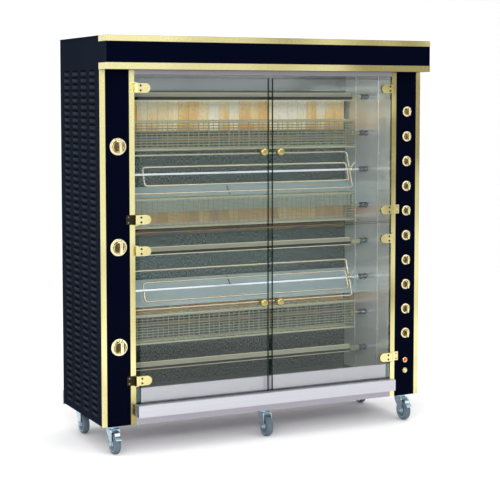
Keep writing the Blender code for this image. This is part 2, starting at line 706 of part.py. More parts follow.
def build_knob(name, x, z, radius, depth, finish):
    """A round control knob with a raised grip and the spindle that goes through the pillar."""
    face = FRONT - 2 * PLAY
    grip_start, grip_end = face - depth / 3, face - depth
    width, tall = radius / 4, GRIP_TALL * radius
    shapes = [
        rod((x, face, z), (x, face - depth / 3, z), radius, 16),
        box((x - width, grip_start + PLAY, z - tall), (x + width, grip_end, z + tall)),
        rod((x, face - PLAY, z), (x, behind(PILLAR_THICKNESS + STEM_REACH), z), STEM_RADIUS),
    ]
    piece(name, finish, shapes, pivot=(x, FRONT, z))


def build_controls():
    x = CONTROL_INSET["left"] - WIDTH / 2
    for number, zone in enumerate(ZONES):
        build_knob(f"gas_knob_{zone}", x, gas_knob_height(number), GAS_KNOB_RADIUS, GAS_KNOB_DEPTH, GOLD)
    x = WIDTH / 2 - CONTROL_INSET["right"]
    for number in range(SWITCHES):
        name = f"switch_knob_{number + 1}"
        build_knob(name, x, switch_height(number), SWITCH_RADIUS, SWITCH_DEPTH, GOLD)
    z = up(BUTTON_HEIGHT)
    stem = rod((x, FRONT - BUTTON_REACH, z), (x, behind(2 * PILLAR_THICKNESS), z), BUTTON_RADIUS, 10)
    piece("igniter_button", BRASS, [stem], pivot=(x, FRONT, z))


def build_drip_tray():
    """The long tray under the cavity; its front is the stainless apron, a hollow rail open at its ends."""
    side, wall = CAVITY_SIDE - TRAY_SIDE_GAP, TRAY_WALL
    floor, rim = up(BASE_HEIGHT) + PLAY, up(APRON_TOP) - 2 * TRAY_WALL
    front, rear = FRONT - 2 * TRAY_WALL, behind(CAVITY_DEPTH) - TRAY_SIDE_GAP
    apron, nose, top = CAVITY_SIDE + 2 * TRAY_WALL, FRONT - APRON_REACH, up(APRON_TOP)
    shapes = [
        box((-side, front, floor), (side, rear, floor + wall)),
        box((-side, front, floor), (-side + wall, rear, rim)),
        box((side - wall, front, floor), (side, rear, rim)),
        box((-side, rear - wall, floor), (side, rear, rim)),
        box((-apron, front, floor), (apron, front + wall, top)),
        box((-apron, nose, floor), (apron, nose + wall, top)),
        box((-apron, nose, top - wall), (apron, front + wall, top)),
        box((-apron, nose, floor), (apron, front + wall, floor + wall)),
    ]
    piece("drip_tray", STEEL, shapes)


def build_caster(name, x, y):
    """A swivel fork with its kingpin and axle, and a rubber-tyred wheel that trails behind the kingpin."""
    axle_y, half = y - TRAIL, WHEEL_WIDTH / 2
    top = CASTER_HEIGHT - FIT
    yoke = top - SWIVEL_HEIGHT
    inner, outer = half + 3 * PLAY, half + 3 * PLAY + FORK_PLATE
    rear, front = y + SWIVEL_RADIUS - SWIVEL_PIN, axle_y - 2 * AXLE_RADIUS
    cheek = [(rear, yoke - PLAY), (front, yoke - PLAY), (front, WHEEL_RADIUS - 2 * AXLE_RADIUS)]
    cheek.append((axle_y + 2 * AXLE_RADIUS, WHEEL_RADIUS - 2 * AXLE_RADIUS))
    shapes = [
        rod((x, y, yoke - PLAY), (x, y, top), SWIVEL_RADIUS, 12),
        rod((x, y, top - PLAY), (x, y, up(BASE_HEIGHT) - 4 * SHEET), SWIVEL_PIN),
        box((x - outer, front, yoke - FORK_PLATE), (x + outer, rear, yoke)),
        prism(cheek, "x", x - outer, x - inner),
        prism(cheek, "x", x + inner, x + outer),
        rod((x - outer - PLAY, axle_y, WHEEL_RADIUS), (x + outer + PLAY, axle_y, WHEEL_RADIUS), AXLE_RADIUS),
    ]
    if name in ("front_left", "front_right"):
        pedal = (x - half, axle_y - 2 * WHEEL_WIDTH, yoke - FORK_PLATE)
        shapes.append(box(pedal, (x + half, axle_y, yoke - PLAY / 2)))
    piece(f"caster_fork_{name}", ZINC, shapes, pivot=(x, y, 0))
    profile = ((-half, WHEEL_RADIUS - WHEEL_CHAMFER), (WHEEL_CHAMFER - half, WHEEL_RADIUS))
    profile += ((half - WHEEL_CHAMFER, WHEEL_RADIUS), (half, WHEEL_RADIUS - WHEEL_CHAMFER))
    axle = (x, axle_y, WHEEL_RADIUS)
    hub_half = half + PLAY
    hub = rod((x - hub_half, *axle[1:]), (x + hub_half, *axle[1:]), 3 * AXLE_RADIUS)
    bore_end = half + 3 * PLAY
    bore = rod((x - bore_end, *axle[1:]), (x + bore_end, *axle[1:]), AXLE_RADIUS + PLAY / 2)
    piece(f"caster_wheel_{name}", TYRE, [lathe(axle, (1, 0, 0), profile, 16), hub], [bore], axle)


clear_scene()
build_base_frame()
for side_name, side_sign in SIDES.items():
    build_side_panel(side_name, side_sign)
    build_pillar(side_name, side_sign)
build_back_panel()
build_hood()
build_cavity_left_wall()
build_cavity_right_wall()
build_cavity_back_wall()
for zone_number, zone_name in enumerate(ZONES):
    build_heating_zone(zone_name, zone_number)
    if zone_number:
        build_deflector(zone_name, zone_number)
build_front_sill()
build_gearmotor_rail()
build_gas_manifold()
build_spits()
for door_row in ("upper", "lower"):
    for side_name, side_sign in SIDES.items():
        build_door(door_row, side_name, side_sign)
build_controls()
build_drip_tray()
for caster_name, (caster_x, caster_y) in caster_places().items():
    build_caster(caster_name, caster_x, caster_y)
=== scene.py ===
import math
import random

import bmesh
import bpy
from mathutils import Matrix, Vector


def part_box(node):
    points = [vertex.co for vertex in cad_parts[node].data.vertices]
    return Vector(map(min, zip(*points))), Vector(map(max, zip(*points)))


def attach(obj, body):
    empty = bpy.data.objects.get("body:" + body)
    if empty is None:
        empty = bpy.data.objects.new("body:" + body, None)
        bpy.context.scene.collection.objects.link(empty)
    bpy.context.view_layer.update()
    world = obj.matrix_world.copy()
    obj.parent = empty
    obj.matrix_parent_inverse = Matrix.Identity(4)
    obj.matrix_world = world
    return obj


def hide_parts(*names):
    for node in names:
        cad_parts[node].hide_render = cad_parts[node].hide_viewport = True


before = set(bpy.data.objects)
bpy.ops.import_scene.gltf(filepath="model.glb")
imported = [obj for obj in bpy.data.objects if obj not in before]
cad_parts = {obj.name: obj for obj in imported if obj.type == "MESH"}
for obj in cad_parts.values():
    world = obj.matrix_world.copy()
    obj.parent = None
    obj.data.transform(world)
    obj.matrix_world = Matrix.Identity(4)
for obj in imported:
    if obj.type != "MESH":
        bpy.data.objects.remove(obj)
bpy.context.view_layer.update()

# Base frame: a folded and welded stainless pan that carries everything, with a bright front rail between
# the pillars and two stand-offs behind. Brushed along its length, then left bare.


class Wire:
    """An output of a shader node. Sums and products of wires and numbers add Math nodes to its material."""

    def __init__(self, socket):
        self.socket = socket

    def node(self, kind, values, pick=0, stops=(), **settings):
        """Adds a node, sets it up, feeds its inputs by name or number, and gives the output picked."""
        made = self.socket.id_data.nodes.new("ShaderNode" + kind)
        for name, value in settings.items():
            setattr(made, name, value)
        for _ in stops[2:]:
            made.color_ramp.elements.new(1)
        for place, stop in enumerate(stops):
            made.color_ramp.elements[place].position = stop[0]
            made.color_ramp.elements[place].color = (*stop[1], 1)
        for name, value in values.items():
            feed(made.inputs[name], value)
        return Wire(made.outputs[pick])

    def math(self, operation, *values):
        return self.node("Math", dict(enumerate(values)), operation=operation)

    def __add__(self, other):
        return self.math("ADD", self, other)

    def __sub__(self, other):
        return self.math("SUBTRACT", self, other)

    def __mul__(self, other):
        return self.math("MULTIPLY", self, other)

    def __lt__(self, other):
        return self.math("LESS_THAN", self, other)

    def colour(self, low, high):
        """The colour that goes from low to high as this wire goes from 0 to 1."""
        return self.node("Mix", {0: self, 6: low, 7: high}, pick=2, data_type="RGBA")

    def noise(self, scale, stretch=(1, 1, 1), detail=3.0):
        """Noise at this scale along wires of coordinates, stretched along an axis by a small number."""
        spread = self.node("Mapping", {"Vector": self, "Scale": stretch})
        return spread.node("TexNoise", {"Vector": spread, "Scale": scale, "Detail": detail})

    def bump(self, strength, distance):
        return self.node("Bump", {"Height": self, "Strength": strength, "Distance": distance})


def feed(socket, value):
    """Links a wire to a socket, or sets the socket to a number or a colour."""
    if isinstance(value, Wire):
        socket.id_data.links.new(value.socket, socket)
    elif isinstance(value, tuple) and len(socket.default_value) == 4:
        socket.default_value = (*value, 1)
    else:
        socket.default_value = value


def finish_of(name, colour, roughness, metallic=0.0, **constants):
    """Gives a material with its shader's numbers set, the shader's inputs and the place on the piece."""
    material = bpy.data.materials.new(name)
    material.use_nodes = True
    nodes = material.node_tree.nodes
    shader = nodes["Principled BSDF"]
    values = {"Base Color": colour, "Roughness": roughness, "Metallic": metallic}
    values.update({key.replace("_", " "): value for key, value in constants.items()})
    for key, value in values.items():
        feed(shader.inputs[key], value)
    place = Wire(nodes.new("ShaderNodeTexCoord").outputs["Object"])
    return material, shader.inputs, place


def brushed(name, light, dark, roughness, grain, depth=0.00002, metallic=1.0):
    """Brushed sheet metal: fine scratches along the grain's short axis, with slow changes of tone."""
    material, inputs, place = finish_of(name, light, roughness, metallic)
    scratch = place.noise(60, grain, 2.0)
    cloud = place.noise(3.5, ALL_WAYS, 2.0)
    feed(inputs["Base Color"], (scratch * 0.55 + cloud * 0.45).colour(dark, light))
    feed(inputs["Roughness"], scratch * 0.16 + cloud * 0.08 + (roughness - 0.12))
    feed(inputs["Normal"], scratch.bump(0.25, depth))
    return material


ALONG_X, ALONG_Z = (0.04, 4, 4), (4, 4, 0.04)
ALL_WAYS = (1, 1, 1)
stainless = brushed("stainless", (0.66, 0.66, 0.70), (0.48, 0.48, 0.52), 0.36, ALONG_X)
rail_steel = brushed("rail_steel", (0.42, 0.40, 0.45), (0.31, 0.29, 0.33), 0.42, ALONG_X)

SOFTEN_FROM = math.radians(35)


def keep(node, material, edge=0.0):
    """Keeps a CAD node's shape and gives it a finish and, where it shows, softened edges."""
    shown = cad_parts[node]
    shown.data.materials.clear()
    shown.data.materials.append(material)
    if edge:
        soften(shown, edge)


def soften(piece, edge):
    """Rounds the edges of a piece that turn by more than SOFTEN_FROM."""
    bevel = piece.modifiers.new("edge", "BEVEL")
    bevel.width = edge
    bevel.segments = 2
    bevel.limit_method = "ANGLE"
    bevel.angle_limit = SOFTEN_FROM
    bevel.harden_normals = False


keep("base_frame", rail_steel)
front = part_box("base_frame")[0].y  # the plane of the front rail and of the pillars' gold strips
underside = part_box("left_side_panel")[0].z

# Side panels: dark slate enamelled sheet, screwed on along its front and back edges, with four columns of
# louvres pressed out of it. Each louvre swells out from its foot to a lip, in a lighter slate that is painted
# highlight, with a dark slab above the lip that is painted shade for the opening for the heat.

SHEET = 0.0015
LOUVRE_PITCH = 0.025
LOUVRE_TALL = 0.012
POCKET_TALL = 0.007
LOUVRE_WIDE = 0.060
POCKET_WIDE = 0.94 * LOUVRE_WIDE
LOUVRE_DEEP = 0.0038
LOUVRE_SUNK = 0.004  # from the outer face of the CAD panel to the sheet
LOUVRE_MARGINS = (0.027, 0.110)  # below the first row, above the last
LOUVRE_PLACES = (0.093, 0.1907, 0.2884, 0.3861)  # behind the front plane
PANEL_SCREWS = 5
PANEL_SCREW_INSET = (0.018, 0.030)  # from the upright edges, from the ends


def slab(mesh, low, high):
    """Adds a box between two corners."""
    low, high = Vector(low), Vector(high)
    made = bmesh.ops.create_cube(mesh, size=1)["verts"]
    size = [abs(side) for side in high - low]
    place = Matrix.Translation((low + high) / 2) @ Matrix.Diagonal((*size, 1))
    bmesh.ops.transform(mesh, matrix=place, verts=made)
    return made


def turned(mesh, centre, axis, profile, sides=32):
    """Adds a turned solid: its profile is (distance along the axis, radius) from end to end."""
    axis = Vector(axis).normalized()
    across = Vector((0, 1, 0)) if abs(axis.z) > 0.9 else Vector((0, 0, 1))
    beside = axis.cross(across)
    rings = []
    for along, radius in profile:
        turns = [2 * math.pi * step / sides for step in range(sides)]
        spokes = [across * math.cos(turn) + beside * math.sin(turn) for turn in turns]
        rings.append([mesh.verts.new(Vector(centre) + axis * along + spoke * radius) for spoke in spokes])
    for lower, upper in zip(rings, rings[1:]):
        for step in range(sides):
            after = (step + 1) % sides
            mesh.faces.new((lower[step], lower[after], upper[after], upper[step]))
    mesh.faces.new(rings[0])
    mesh.faces.new(rings[-1])


def extruded(mesh, outline, axis, start, end):
    """Adds an outline drawn square to an axis and extruded along it."""
    index = "xyz".index(axis)
    layers = []
    for place in (start, end):
        points = [list(pair) for pair in outline]
        for point in points:
            point.insert(index, place)
        layers.append([mesh.verts.new(point) for point in points])
    mesh.faces.new(layers[0])
    mesh.faces.new(layers[1])
    for step in range(len(outline)):
        after = (step + 1) % len(outline)
        mesh.faces.new((layers[0][step], layers[0][after], layers[1][after], layers[1][step]))


def piece(name, mesh, material, body, slot, replaced=(), edge=0.0, sharp=35):
    """Makes a mesh into a piece that rides on a body, shaded smooth up to an angle or with softened edges."""
    bmesh.ops.recalc_face_normals(mesh, faces=mesh.faces)
    data = bpy.data.meshes.new(name)
    mesh.to_mesh(data)
    mesh.free()
    data.materials.append(material)
    data.shade_smooth()
    made = bpy.data.objects.new(name, data)
    bpy.context.scene.collection.objects.link(made)
    if edge:
        soften(made, edge)
        made.modifiers["edge"].harden_normals = True
    else:
        data.set_sharp_from_angle(angle=math.radians(sharp))
    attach(made, body)
    if replaced:
        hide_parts(*replaced)
    return made


def screw_head(mesh, centre, axis, radius):
    """Adds a low domed screw head that stands on a face."""
    dome = ((0, 1), (0.3, 1), (0.55, 0.75), (0.65, 0.3))
    turned(mesh, centre, axis, [(along * radius, reach * radius) for along, reach in dome], 16)


def enamel(name, colour, roughness, peel=0.00004, gloss=0.14):
    """Sprayed and baked enamel: one colour with a faint cloud and the fine waviness of the coat."""
    dark = tuple(0.75 * channel for channel in colour)
    material, inputs, place = finish_of(name, colour, roughness, Specular_IOR_Level=gloss)
    cloud = place.noise(4, ALL_WAYS, 3.0)
    feed(inputs["Base Color"], cloud.colour(dark, colour))
    feed(inputs["Roughness"], cloud * 0.12 + (roughness - 0.06))
    feed(inputs["Normal"], place.noise(350).bump(0.2, peel))
    return material


slate = enamel("slate_enamel", (0.0100, 0.0140, 0.0230), 0.60, gloss=0.0)
# A lighter copy of the slate for the louvre blades: painted highlight for the light they catch.
slate_painted_highlight = enamel("slate_enamel_painted_highlight", (0.016, 0.021, 0.031), 0.50, gloss=0.01)


def louvre(mesh, face, sign, middle, foot):
    """Adds one louvre: a grid that swells out from its foot to the open upper lip, closed at the back."""
    columns, rows = 12, 4
    grid = []
    for row in range(rows + 1):
        rise = math.sin(math.pi / 2 * row / rows)
        line = []
        for column in range(columns + 1):
            across = 2 * column / columns - 1
            end = math.sqrt(max(0.0, 1 - across**4))
            place = (face + sign * LOUVRE_DEEP * rise * end, middle + across * LOUVRE_WIDE / 2, foot)
            line.append(mesh.verts.new(Vector(place) + Vector((0, 0, LOUVRE_TALL * row / rows))))
        grid.append(line)
    behind = face - sign * 0.0005
    back = [[mesh.verts.new((behind, *vertex.co.yz)) for vertex in grid[row]] for row in (0, rows)]
    layers = [back[0]] + grid + [back[1]]
    for upper, lower in zip(layers, layers[1:]):
        for left in range(columns):
            mesh.faces.new((upper[left], upper[left + 1], lower[left + 1], lower[left]))
    for left in range(columns):
        mesh.faces.new((back[0][left], back[0][left + 1], back[1][left + 1], back[1][left]))
    for end in (0, columns):
        mesh.faces.new([line[end] for line in layers])


# Painted shade: a near-black finish for the slabs and discs that stand for the shade inside openings, slots
# and ports.
painted_shade_gap, inputs, place = finish_of("shadow_gap", (0.003, 0.003, 0.004), 0.9, Specular_IOR_Level=0.0)
feed(inputs["Base Color"], place.noise(40).colour((0.0015, 0.002, 0.003), (0.005, 0.006, 0.008)))
for side, sign in (("left", -1), ("right", 1)):
    low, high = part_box(f"{side}_side_panel")
    outer = low.x if sign < 0 else high.x
    face = outer - sign * LOUVRE_SUNK
    sheet = bmesh.new()
    slab(sheet, (face - sign * SHEET, low.y, low.z), (face, high.y, high.z))
    piece(f"{side}_panel_sheet", sheet, slate, "cabinet", "slate_panel", [f"{side}_side_panel"], 0.0006)
    louvres, pockets = bmesh.new(), bmesh.new()
    rows = int((high.z - low.z - sum(LOUVRE_MARGINS)) / LOUVRE_PITCH)
    for depth in LOUVRE_PLACES:
        for row in range(rows):
            foot, middle = low.z + LOUVRE_MARGINS[0] + LOUVRE_PITCH * row, front + depth
            louvre(louvres, face, sign, middle, foot)
            lip = foot + LOUVRE_TALL
            near = (face, middle - POCKET_WIDE / 2, lip - 0.001)
            slab(pockets, near, (face + sign * 0.0004, middle + POCKET_WIDE / 2, lip + POCKET_TALL))
    piece(f"{side}_panel_louvres", louvres, slate_painted_highlight, "cabinet", "slate_panel", sharp=50)
    # The pockets are dark slabs on the sheet: painted shade for the louvres' openings.
    piece(f"{side}_louvre_pockets", pockets, painted_shade_gap, "cabinet", "slate_panel", edge=0.0008)
    screws = bmesh.new()
    beside, above = PANEL_SCREW_INSET
    for y in (low.y + beside, high.y - beside):
        for step in range(PANEL_SCREWS):
            z = low.z + above + step * (high.z - low.z - 2 * above) / (PANEL_SCREWS - 1)
            screw_head(screws, (face, y, z), (sign, 0, 0), 0.0035)
    piece(f"{side}_panel_screws", screws, slate, "cabinet", "slate_panel")

# Back panel: one flat sheet in the same slate enamel, screwed to the side panels. Three rows of heat slots
# are punched through it under the roof, each drawn as a dark slab that is painted shade for the slot.

BACK_SCREWS = 6
BACK_SCREW_INSET = (0.02, 0.03)  # from the upright edges, from the ends
SLOT_ROWS, SLOT_COUNT = 3, 24
SLOT_WIDE, SLOT_TALL = 0.036, 0.006
SLOT_PITCH, SLOT_ROW_PITCH = 0.050, 0.022
SLOT_DROP = 0.055  # from the top edge to the first row

low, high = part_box("back_panel")
keep("back_panel", slate)
screws = bmesh.new()
beside, above = BACK_SCREW_INSET
for x in (low.x + beside, high.x - beside):
    for step in range(BACK_SCREWS):
        z = low.z + above + step * (high.z - low.z - 2 * above) / (BACK_SCREWS - 1)
        screw_head(screws, (x, high.y, z), (0, 1, 0), 0.004)
piece("back_screws", screws, slate, "cabinet", "slate_panel")
slots = bmesh.new()
radius = SLOT_TALL / 2
arc = [math.radians(turn) for turn in range(-90, 91, 30)]
right = [(SLOT_WIDE / 2 - radius + radius * math.cos(turn), radius * math.sin(turn)) for turn in arc]
slot_outline = right + [(-x, -z) for x, z in right]
for row in range(SLOT_ROWS):
    for step in range(SLOT_COUNT):
        across = (step - (SLOT_COUNT - 1) / 2) * SLOT_PITCH
        rise = high.z - SLOT_DROP - row * SLOT_ROW_PITCH
        outline = [(across + x, rise + z) for x, z in slot_outline]
        extruded(slots, outline, "y", high.y - 0.0005, high.y + 0.0003)
piece("back_heat_slots", slots, painted_shade_gap, "cabinet", "slate_panel")

# Cavity liner: stainless sheets. The side ones are polished, the right one in upright strips with standing
# seams; the back one is embossed with fine dashes below a plain strip. The left one's rests are welded on.

SEAM_PLACES = (0.105, 0.286)  # behind the front plane
SEAM_WIDE = 0.004
SEAM_PROUD = 0.0012
PLAIN_STRIP = 0.058
RIVETS = 9
RIVET_FIRST, RIVET_PITCH = 0.09, 0.145
RIVET_BESIDE = 0.009  # in front of the seam

polished = brushed("polished_liner", (0.78, 0.81, 0.79), (0.66, 0.69, 0.68), 0.15, ALONG_Z, 0.00001, 0.50)
wall_low, wall_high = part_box("cavity_right_wall")
back_low, back_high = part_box("cavity_back_wall")
embossed, inputs, place = finish_of("embossed_liner", (0.12, 0.15, 0.15), 0.34, 1.0)
height = place.node("SeparateXYZ", {0: place}, pick=2)
plain = height.math("GREATER_THAN", height, back_high.z - PLAIN_STRIP)
dash = place.noise(330, (1, 1, 0.35), 1.0)
stops = ((0.40, (0.022, 0.036, 0.035)), (0.50, (0.060, 0.092, 0.088)), (0.62, (0.165, 0.215, 0.205)))
dashes = dash.node("ValToRGB", {0: dash}, stops=stops)
smooth = place.noise(3, (0.2, 1, 5)).colour((0.14, 0.17, 0.17), (0.34, 0.37, 0.37))
feed(inputs["Base Color"], plain.colour(dashes, smooth))
feed(inputs["Roughness"], plain * -0.16 + 0.38)
feed(inputs["Normal"], dash.bump(0.25, 0.0003))
keep("cavity_back_wall", embossed)
keep("cavity_left_wall", polished)
keep("cavity_right_wall", polished)
seams = bmesh.new()
for depth in SEAM_PLACES:
    near = (wall_low.x - SEAM_PROUD, front + depth - SEAM_WIDE / 2, wall_low.z)
    slab(seams, near, (wall_low.x, front + depth + SEAM_WIDE / 2, wall_high.z))
# A brighter copy of the liner steel for the seams and rivets: painted highlight along the standing seams.
seam_painted_highlight = brushed("seam_steel_painted_highlight", (0.92, 0.92, 0.94), (0.80, 0.81, 0.84), 0.30, ALONG_Z)
piece("liner_seams", seams, seam_painted_highlight, "cabinet", "polished_steel", edge=0.0005)
rivets = bmesh.new()
for depth in SEAM_PLACES:
    for step in range(RIVETS):
        z = wall_low.z + RIVET_FIRST + step * RIVET_PITCH
        screw_head(rivets, (wall_low.x, front + depth - RIVET_BESIDE, z), (-1, 0, 0), 0.0025)
piece("liner_rivets", rivets, seam_painted_highlight, "cabinet", "polished_steel")

# Firebricks: three rows of upright refractory bricks, pressed and fired, standing on a steel ledge in front
# of the back liner. The flames have scorched them unevenly, palest in the top row.

BRICKS = 24
BRICK_GAP = 0.0008
LEDGE = 0.003


def brick_finish(name, seed, stops):
    """Fired clay: a tone for each brick, more scorched towards its foot, with specks and pores."""
    material, inputs, place = finish_of(name, (0.8, 0.6, 0.4), 0.85)
    low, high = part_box(name)
    across = place.node("SeparateXYZ", {0: place})
    rise = place.node("SeparateXYZ", {0: place}, pick=2)
    cell = across.math("FLOOR", across * (BRICKS / (high.x - low.x)) + BRICKS / 2)
    tone = cell.node("TexWhiteNoise", {"W": cell * 1.37 + seed}, noise_dimensions="1D")
    cloud = place.noise(9, (1.6, 1, 0.7), 4.0)
    streak = place.noise(60, (1, 1, 0.12), 2.0)
    foot = (rise - low.z) * (-0.34 / (high.z - low.z)) + 0.20
    heat = tone * 0.42 + cloud * 0.55 + streak * 0.22 + foot - 0.12
    clay = heat.node("ValToRGB", {0: heat}, stops=stops)
    speck = place.noise(420, ALL_WAYS, 1.0)
    speckled = (speck < 0.34).colour(clay, (0.30, 0.20, 0.12))
    feed(inputs["Base Color"], speckled)
    feed(inputs["Normal"], speck.bump(0.35, 0.0004))
    return material


PALE = ((0.34, (0.96, 0.93, 0.76)), (0.48, (0.96, 0.86, 0.54)), (0.62, (0.92, 0.68, 0.30)))
PALE += ((0.80, (0.80, 0.44, 0.13)), (0.94, (0.60, 0.33, 0.20)))
SCORCHED = ((0.22, (0.90, 0.78, 0.46)), (0.40, (0.88, 0.62, 0.24)), (0.58, (0.80, 0.43, 0.11)))
SCORCHED += ((0.78, (0.60, 0.27, 0.07)), (0.94, (0.42, 0.20, 0.10)))
scorch = random.Random(7)
for zone, seed, stops in (("top", 3.1, PALE), ("middle", 19.7, SCORCHED), ("bottom", 41.3, SCORCHED)):
    low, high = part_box(f"firebrick_{zone}")
    wide = (high.x - low.x) / BRICKS
    bricks = bmesh.new()
    for number in range(BRICKS):
        set_back = scorch.uniform(0, 0.0008)
        left = low.x + number * wide + BRICK_GAP / 2
        slab(bricks, (left, low.y + set_back, low.z + LEDGE), (left + wide - BRICK_GAP, high.y, high.z))
    finish = brick_finish(f"firebrick_{zone}", seed, stops)
    piece(f"{zone}_bricks", bricks, finish, "cabinet", "firebrick", [f"firebrick_{zone}"], 0.0013)
    ledge = bmesh.new()
    slab(ledge, (low.x, low.y, low.z), (high.x, high.y, low.z + LEDGE * 0.9))
    slab(ledge, (low.x, low.y, low.z), (high.x, low.y + 0.001, low.z + 2 * LEDGE))
    piece(f"{zone}_brick_ledge", ledge, stainless, "cabinet", "stainless", edge=0.0003)

# Burners: one steel tube under each row of bricks, drilled with two rows of ports along its top, fed
# through the left liner and carried by a tab at the far end. Heat has turned the bare steel straw and blue
# in patches.

PORT_PITCH = 0.012
PORT_RADIUS = 0.0016
PORT_LEANS = (50, 80)  # degrees up from the front
PORT_START = 0.075  # from the tube's left end
PORT_STOP = 0.50  # in X

burnt, inputs, place = finish_of("burnt_steel", (0.20, 0.20, 0.21), 0.45, 1.0)
patches = place.noise(7, ALL_WAYS, 3.0)
stops = ((0.35, (0.23, 0.23, 0.24)), (0.50, (0.34, 0.27, 0.16)), (0.62, (0.17, 0.16, 0.24)))
feed(inputs["Base Color"], patches.node("ValToRGB", {0: patches}, stops=stops))
feed(inputs["Roughness"], place.noise(90) * 0.3 + 0.32)
for zone in ("top", "middle", "bottom"):
    keep(f"burner_{zone}", burnt, 0.0008)
    low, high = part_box(f"burner_{zone}")
    radius = (high.z - low.z) / 2
    # The ports are dark discs on the tube: painted shade for the drilled holes.
    ports = bmesh.new()
    for lean in PORT_LEANS:
        spoke = Vector((0, -math.cos(math.radians(lean)), math.sin(math.radians(lean))))
        middle = Vector((0, low.y + radius, low.z + radius)) + spoke * (radius * 0.94)
        x = low.x + PORT_START
        while x < PORT_STOP:
            turned(ports, middle + Vector((x, 0, 0)), spoke, ((0, PORT_RADIUS), (0.0006, PORT_RADIUS)), 6)
            x += PORT_PITCH
    piece(f"{zone}_burner_ports", ports, painted_shade_gap, "cabinet", "burner_steel")

# Deflectors: polished sheets that lean forward over the two lower rows of bricks and throw their heat at
# the spits. Each is two lengths butted over a joint strip, with its front edge hemmed.

JOINT_WIDE = 0.006
JOINT_X = -0.014
JOINT_SHEET = 0.0012
JOINT_FROM, JOINT_TO = 0.055, 0.004  # behind the low front edge, in front of the high back edge
HEM = 0.0016

mirror = brushed("deflector_steel", (0.62, 0.78, 0.80), (0.42, 0.58, 0.61), 0.38, ALONG_X, 0.00001, 0.35)
for zone in ("middle", "bottom"):
    low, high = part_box(f"deflector_{zone}")
    keep(f"deflector_{zone}", mirror)
    hem = bmesh.new()
    turned(hem, (low.x, low.y + HEM, low.z + HEM), (1, 0, 0), ((0, HEM), (high.x - low.x, HEM)), 12)
    piece(f"{zone}_deflector_hem", hem, mirror, "cabinet", "polished_steel")
    joint = bmesh.new()
    slope = (high.z - low.z) / (high.y - low.y)
    outline = [(low.y + JOINT_FROM, low.z + JOINT_FROM * slope + JOINT_SHEET / 2)]
    outline.append((high.y - JOINT_TO, high.z - JOINT_TO * slope + JOINT_SHEET / 2))
    outline += [(y, z - JOINT_SHEET) for y, z in reversed(outline)]
    extruded(joint, outline, "x", JOINT_X - JOINT_WIDE / 2, JOINT_X + JOINT_WIDE / 2)
    piece(f"{zone}_deflector_joint", joint, burnt, "cabinet", "polished_steel")

# Drive side: a rail behind the right liner with one small gearmotor for each spit, painted grey; and gas
# side: the brass supply pipe with a valve behind each gas knob. Both are out of sight in the side
# compartments.

motor_paint, inputs, place = finish_of("motor_paint", (0.16, 0.17, 0.18), 0.5)
feed(inputs["Roughness"], place.noise(60) * 0.2 + 0.4)
feed(inputs["Normal"], place.noise(500).bump(0.2, 0.0001))
valve_brass = brushed("valve_brass", (0.62, 0.47, 0.20), (0.42, 0.31, 0.12), 0.38, ALL_WAYS)
keep("gearmotor_rail", motor_paint, 0.002)
keep("gas_manifold", valve_brass, 0.0012)

# Hood: the folded steel roof with its deep visor. The visor's front is near-black navy enamel, its ends are
# slate like the side panels, and bright gold strips wrap its upper and lower edges. A plain rail closes the
# gap below.

STRIP_TOP = 0.022
STRIP_LOW = 0.024
STRIP_SHEET = 0.0012
FASCIA_SUNK = 0.0006
LINTEL_RISE = 0.018  # from the foot of the header rail to the visor's lower edge
VISOR_LAP = 0.012  # behind the front plane


def polished_gold(name, shade=1.0):
    """Lemon-gold anodised strip: slow changes of tone along its length, as from a room reflected in it."""
    light = (0.60 * shade, 0.54 * shade, 0.25 * shade)
    material, inputs, place = finish_of(name, light, 0.24, 1.0)
    slow = place.noise(2.6, ALL_WAYS, 1.0)
    stops = ((0.40, (0.34 * shade, 0.29 * shade, 0.12 * shade)), (0.48, light), (0.62, (0.80, 0.74, 0.38)))
    feed(inputs["Base Color"], slow.node("ValToRGB", {0: slow}, stops=stops))
    feed(inputs["Roughness"], place.noise(240, ALL_WAYS, 2.0) * 0.12 + 0.20)
    return material


gold = polished_gold("gold_trim")
navy = enamel("navy_enamel", (0.0004, 0.0012, 0.0070), 0.30, 0.00002, 0.012)
roof_paint = enamel("roof_enamel", (0.012, 0.016, 0.026), 0.55, gloss=0.01)
low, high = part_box("hood")
lintel = low.z + LINTEL_RISE
visor_back = front + VISOR_LAP
roof = bmesh.new()
slab(roof, (low.x, low.y, high.z - SHEET), high)
piece("roof_sheet", roof, roof_paint, "cabinet", "slate_panel", ["hood"], 0.0005)
ends = bmesh.new()
for x, inward in ((low.x, 1), (high.x, -1)):
    slab(ends, (x + inward * 0.0004, low.y + 0.001, lintel), (x + inward * SHEET, visor_back, high.z - SHEET))
piece("visor_ends", ends, slate, "cabinet", "slate_panel", edge=0.0004)
fascia = bmesh.new()
near = (low.x + SHEET, low.y + FASCIA_SUNK, lintel)
slab(fascia, near, (high.x - SHEET, low.y + FASCIA_SUNK + SHEET, high.z - SHEET))
slab(fascia, near, (high.x - SHEET, visor_back, lintel + SHEET))
piece("visor_fascia", fascia, navy, "cabinet", "navy_panel", edge=0.0004)
strips = bmesh.new()
for z, tall in ((high.z - STRIP_TOP, STRIP_TOP), (lintel, STRIP_LOW)):
    slab(strips, (low.x, low.y, z), (high.x, low.y + STRIP_SHEET, z + tall))
    for x, inward in ((low.x, 1), (high.x, -1)):
        slab(strips, (x, low.y + STRIP_SHEET, z), (x + inward * STRIP_SHEET / 2, visor_back, z + tall))
piece("visor_strips", strips, gold, "cabinet", "gold_trim", edge=0.0003)
header = bmesh.new()
inner = -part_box("cavity_left_wall")[0].x - 0.0018
slab(header, (-inner, front, low.z), (inner, front + SHEET, lintel))
slab(header, (-inner, front, low.z), (inner, front + 0.010, low.z + SHEET))
piece("header_rail", header, rail_steel, "cabinet", "stainless", edge=0.0006)
ceiling = bmesh.new()
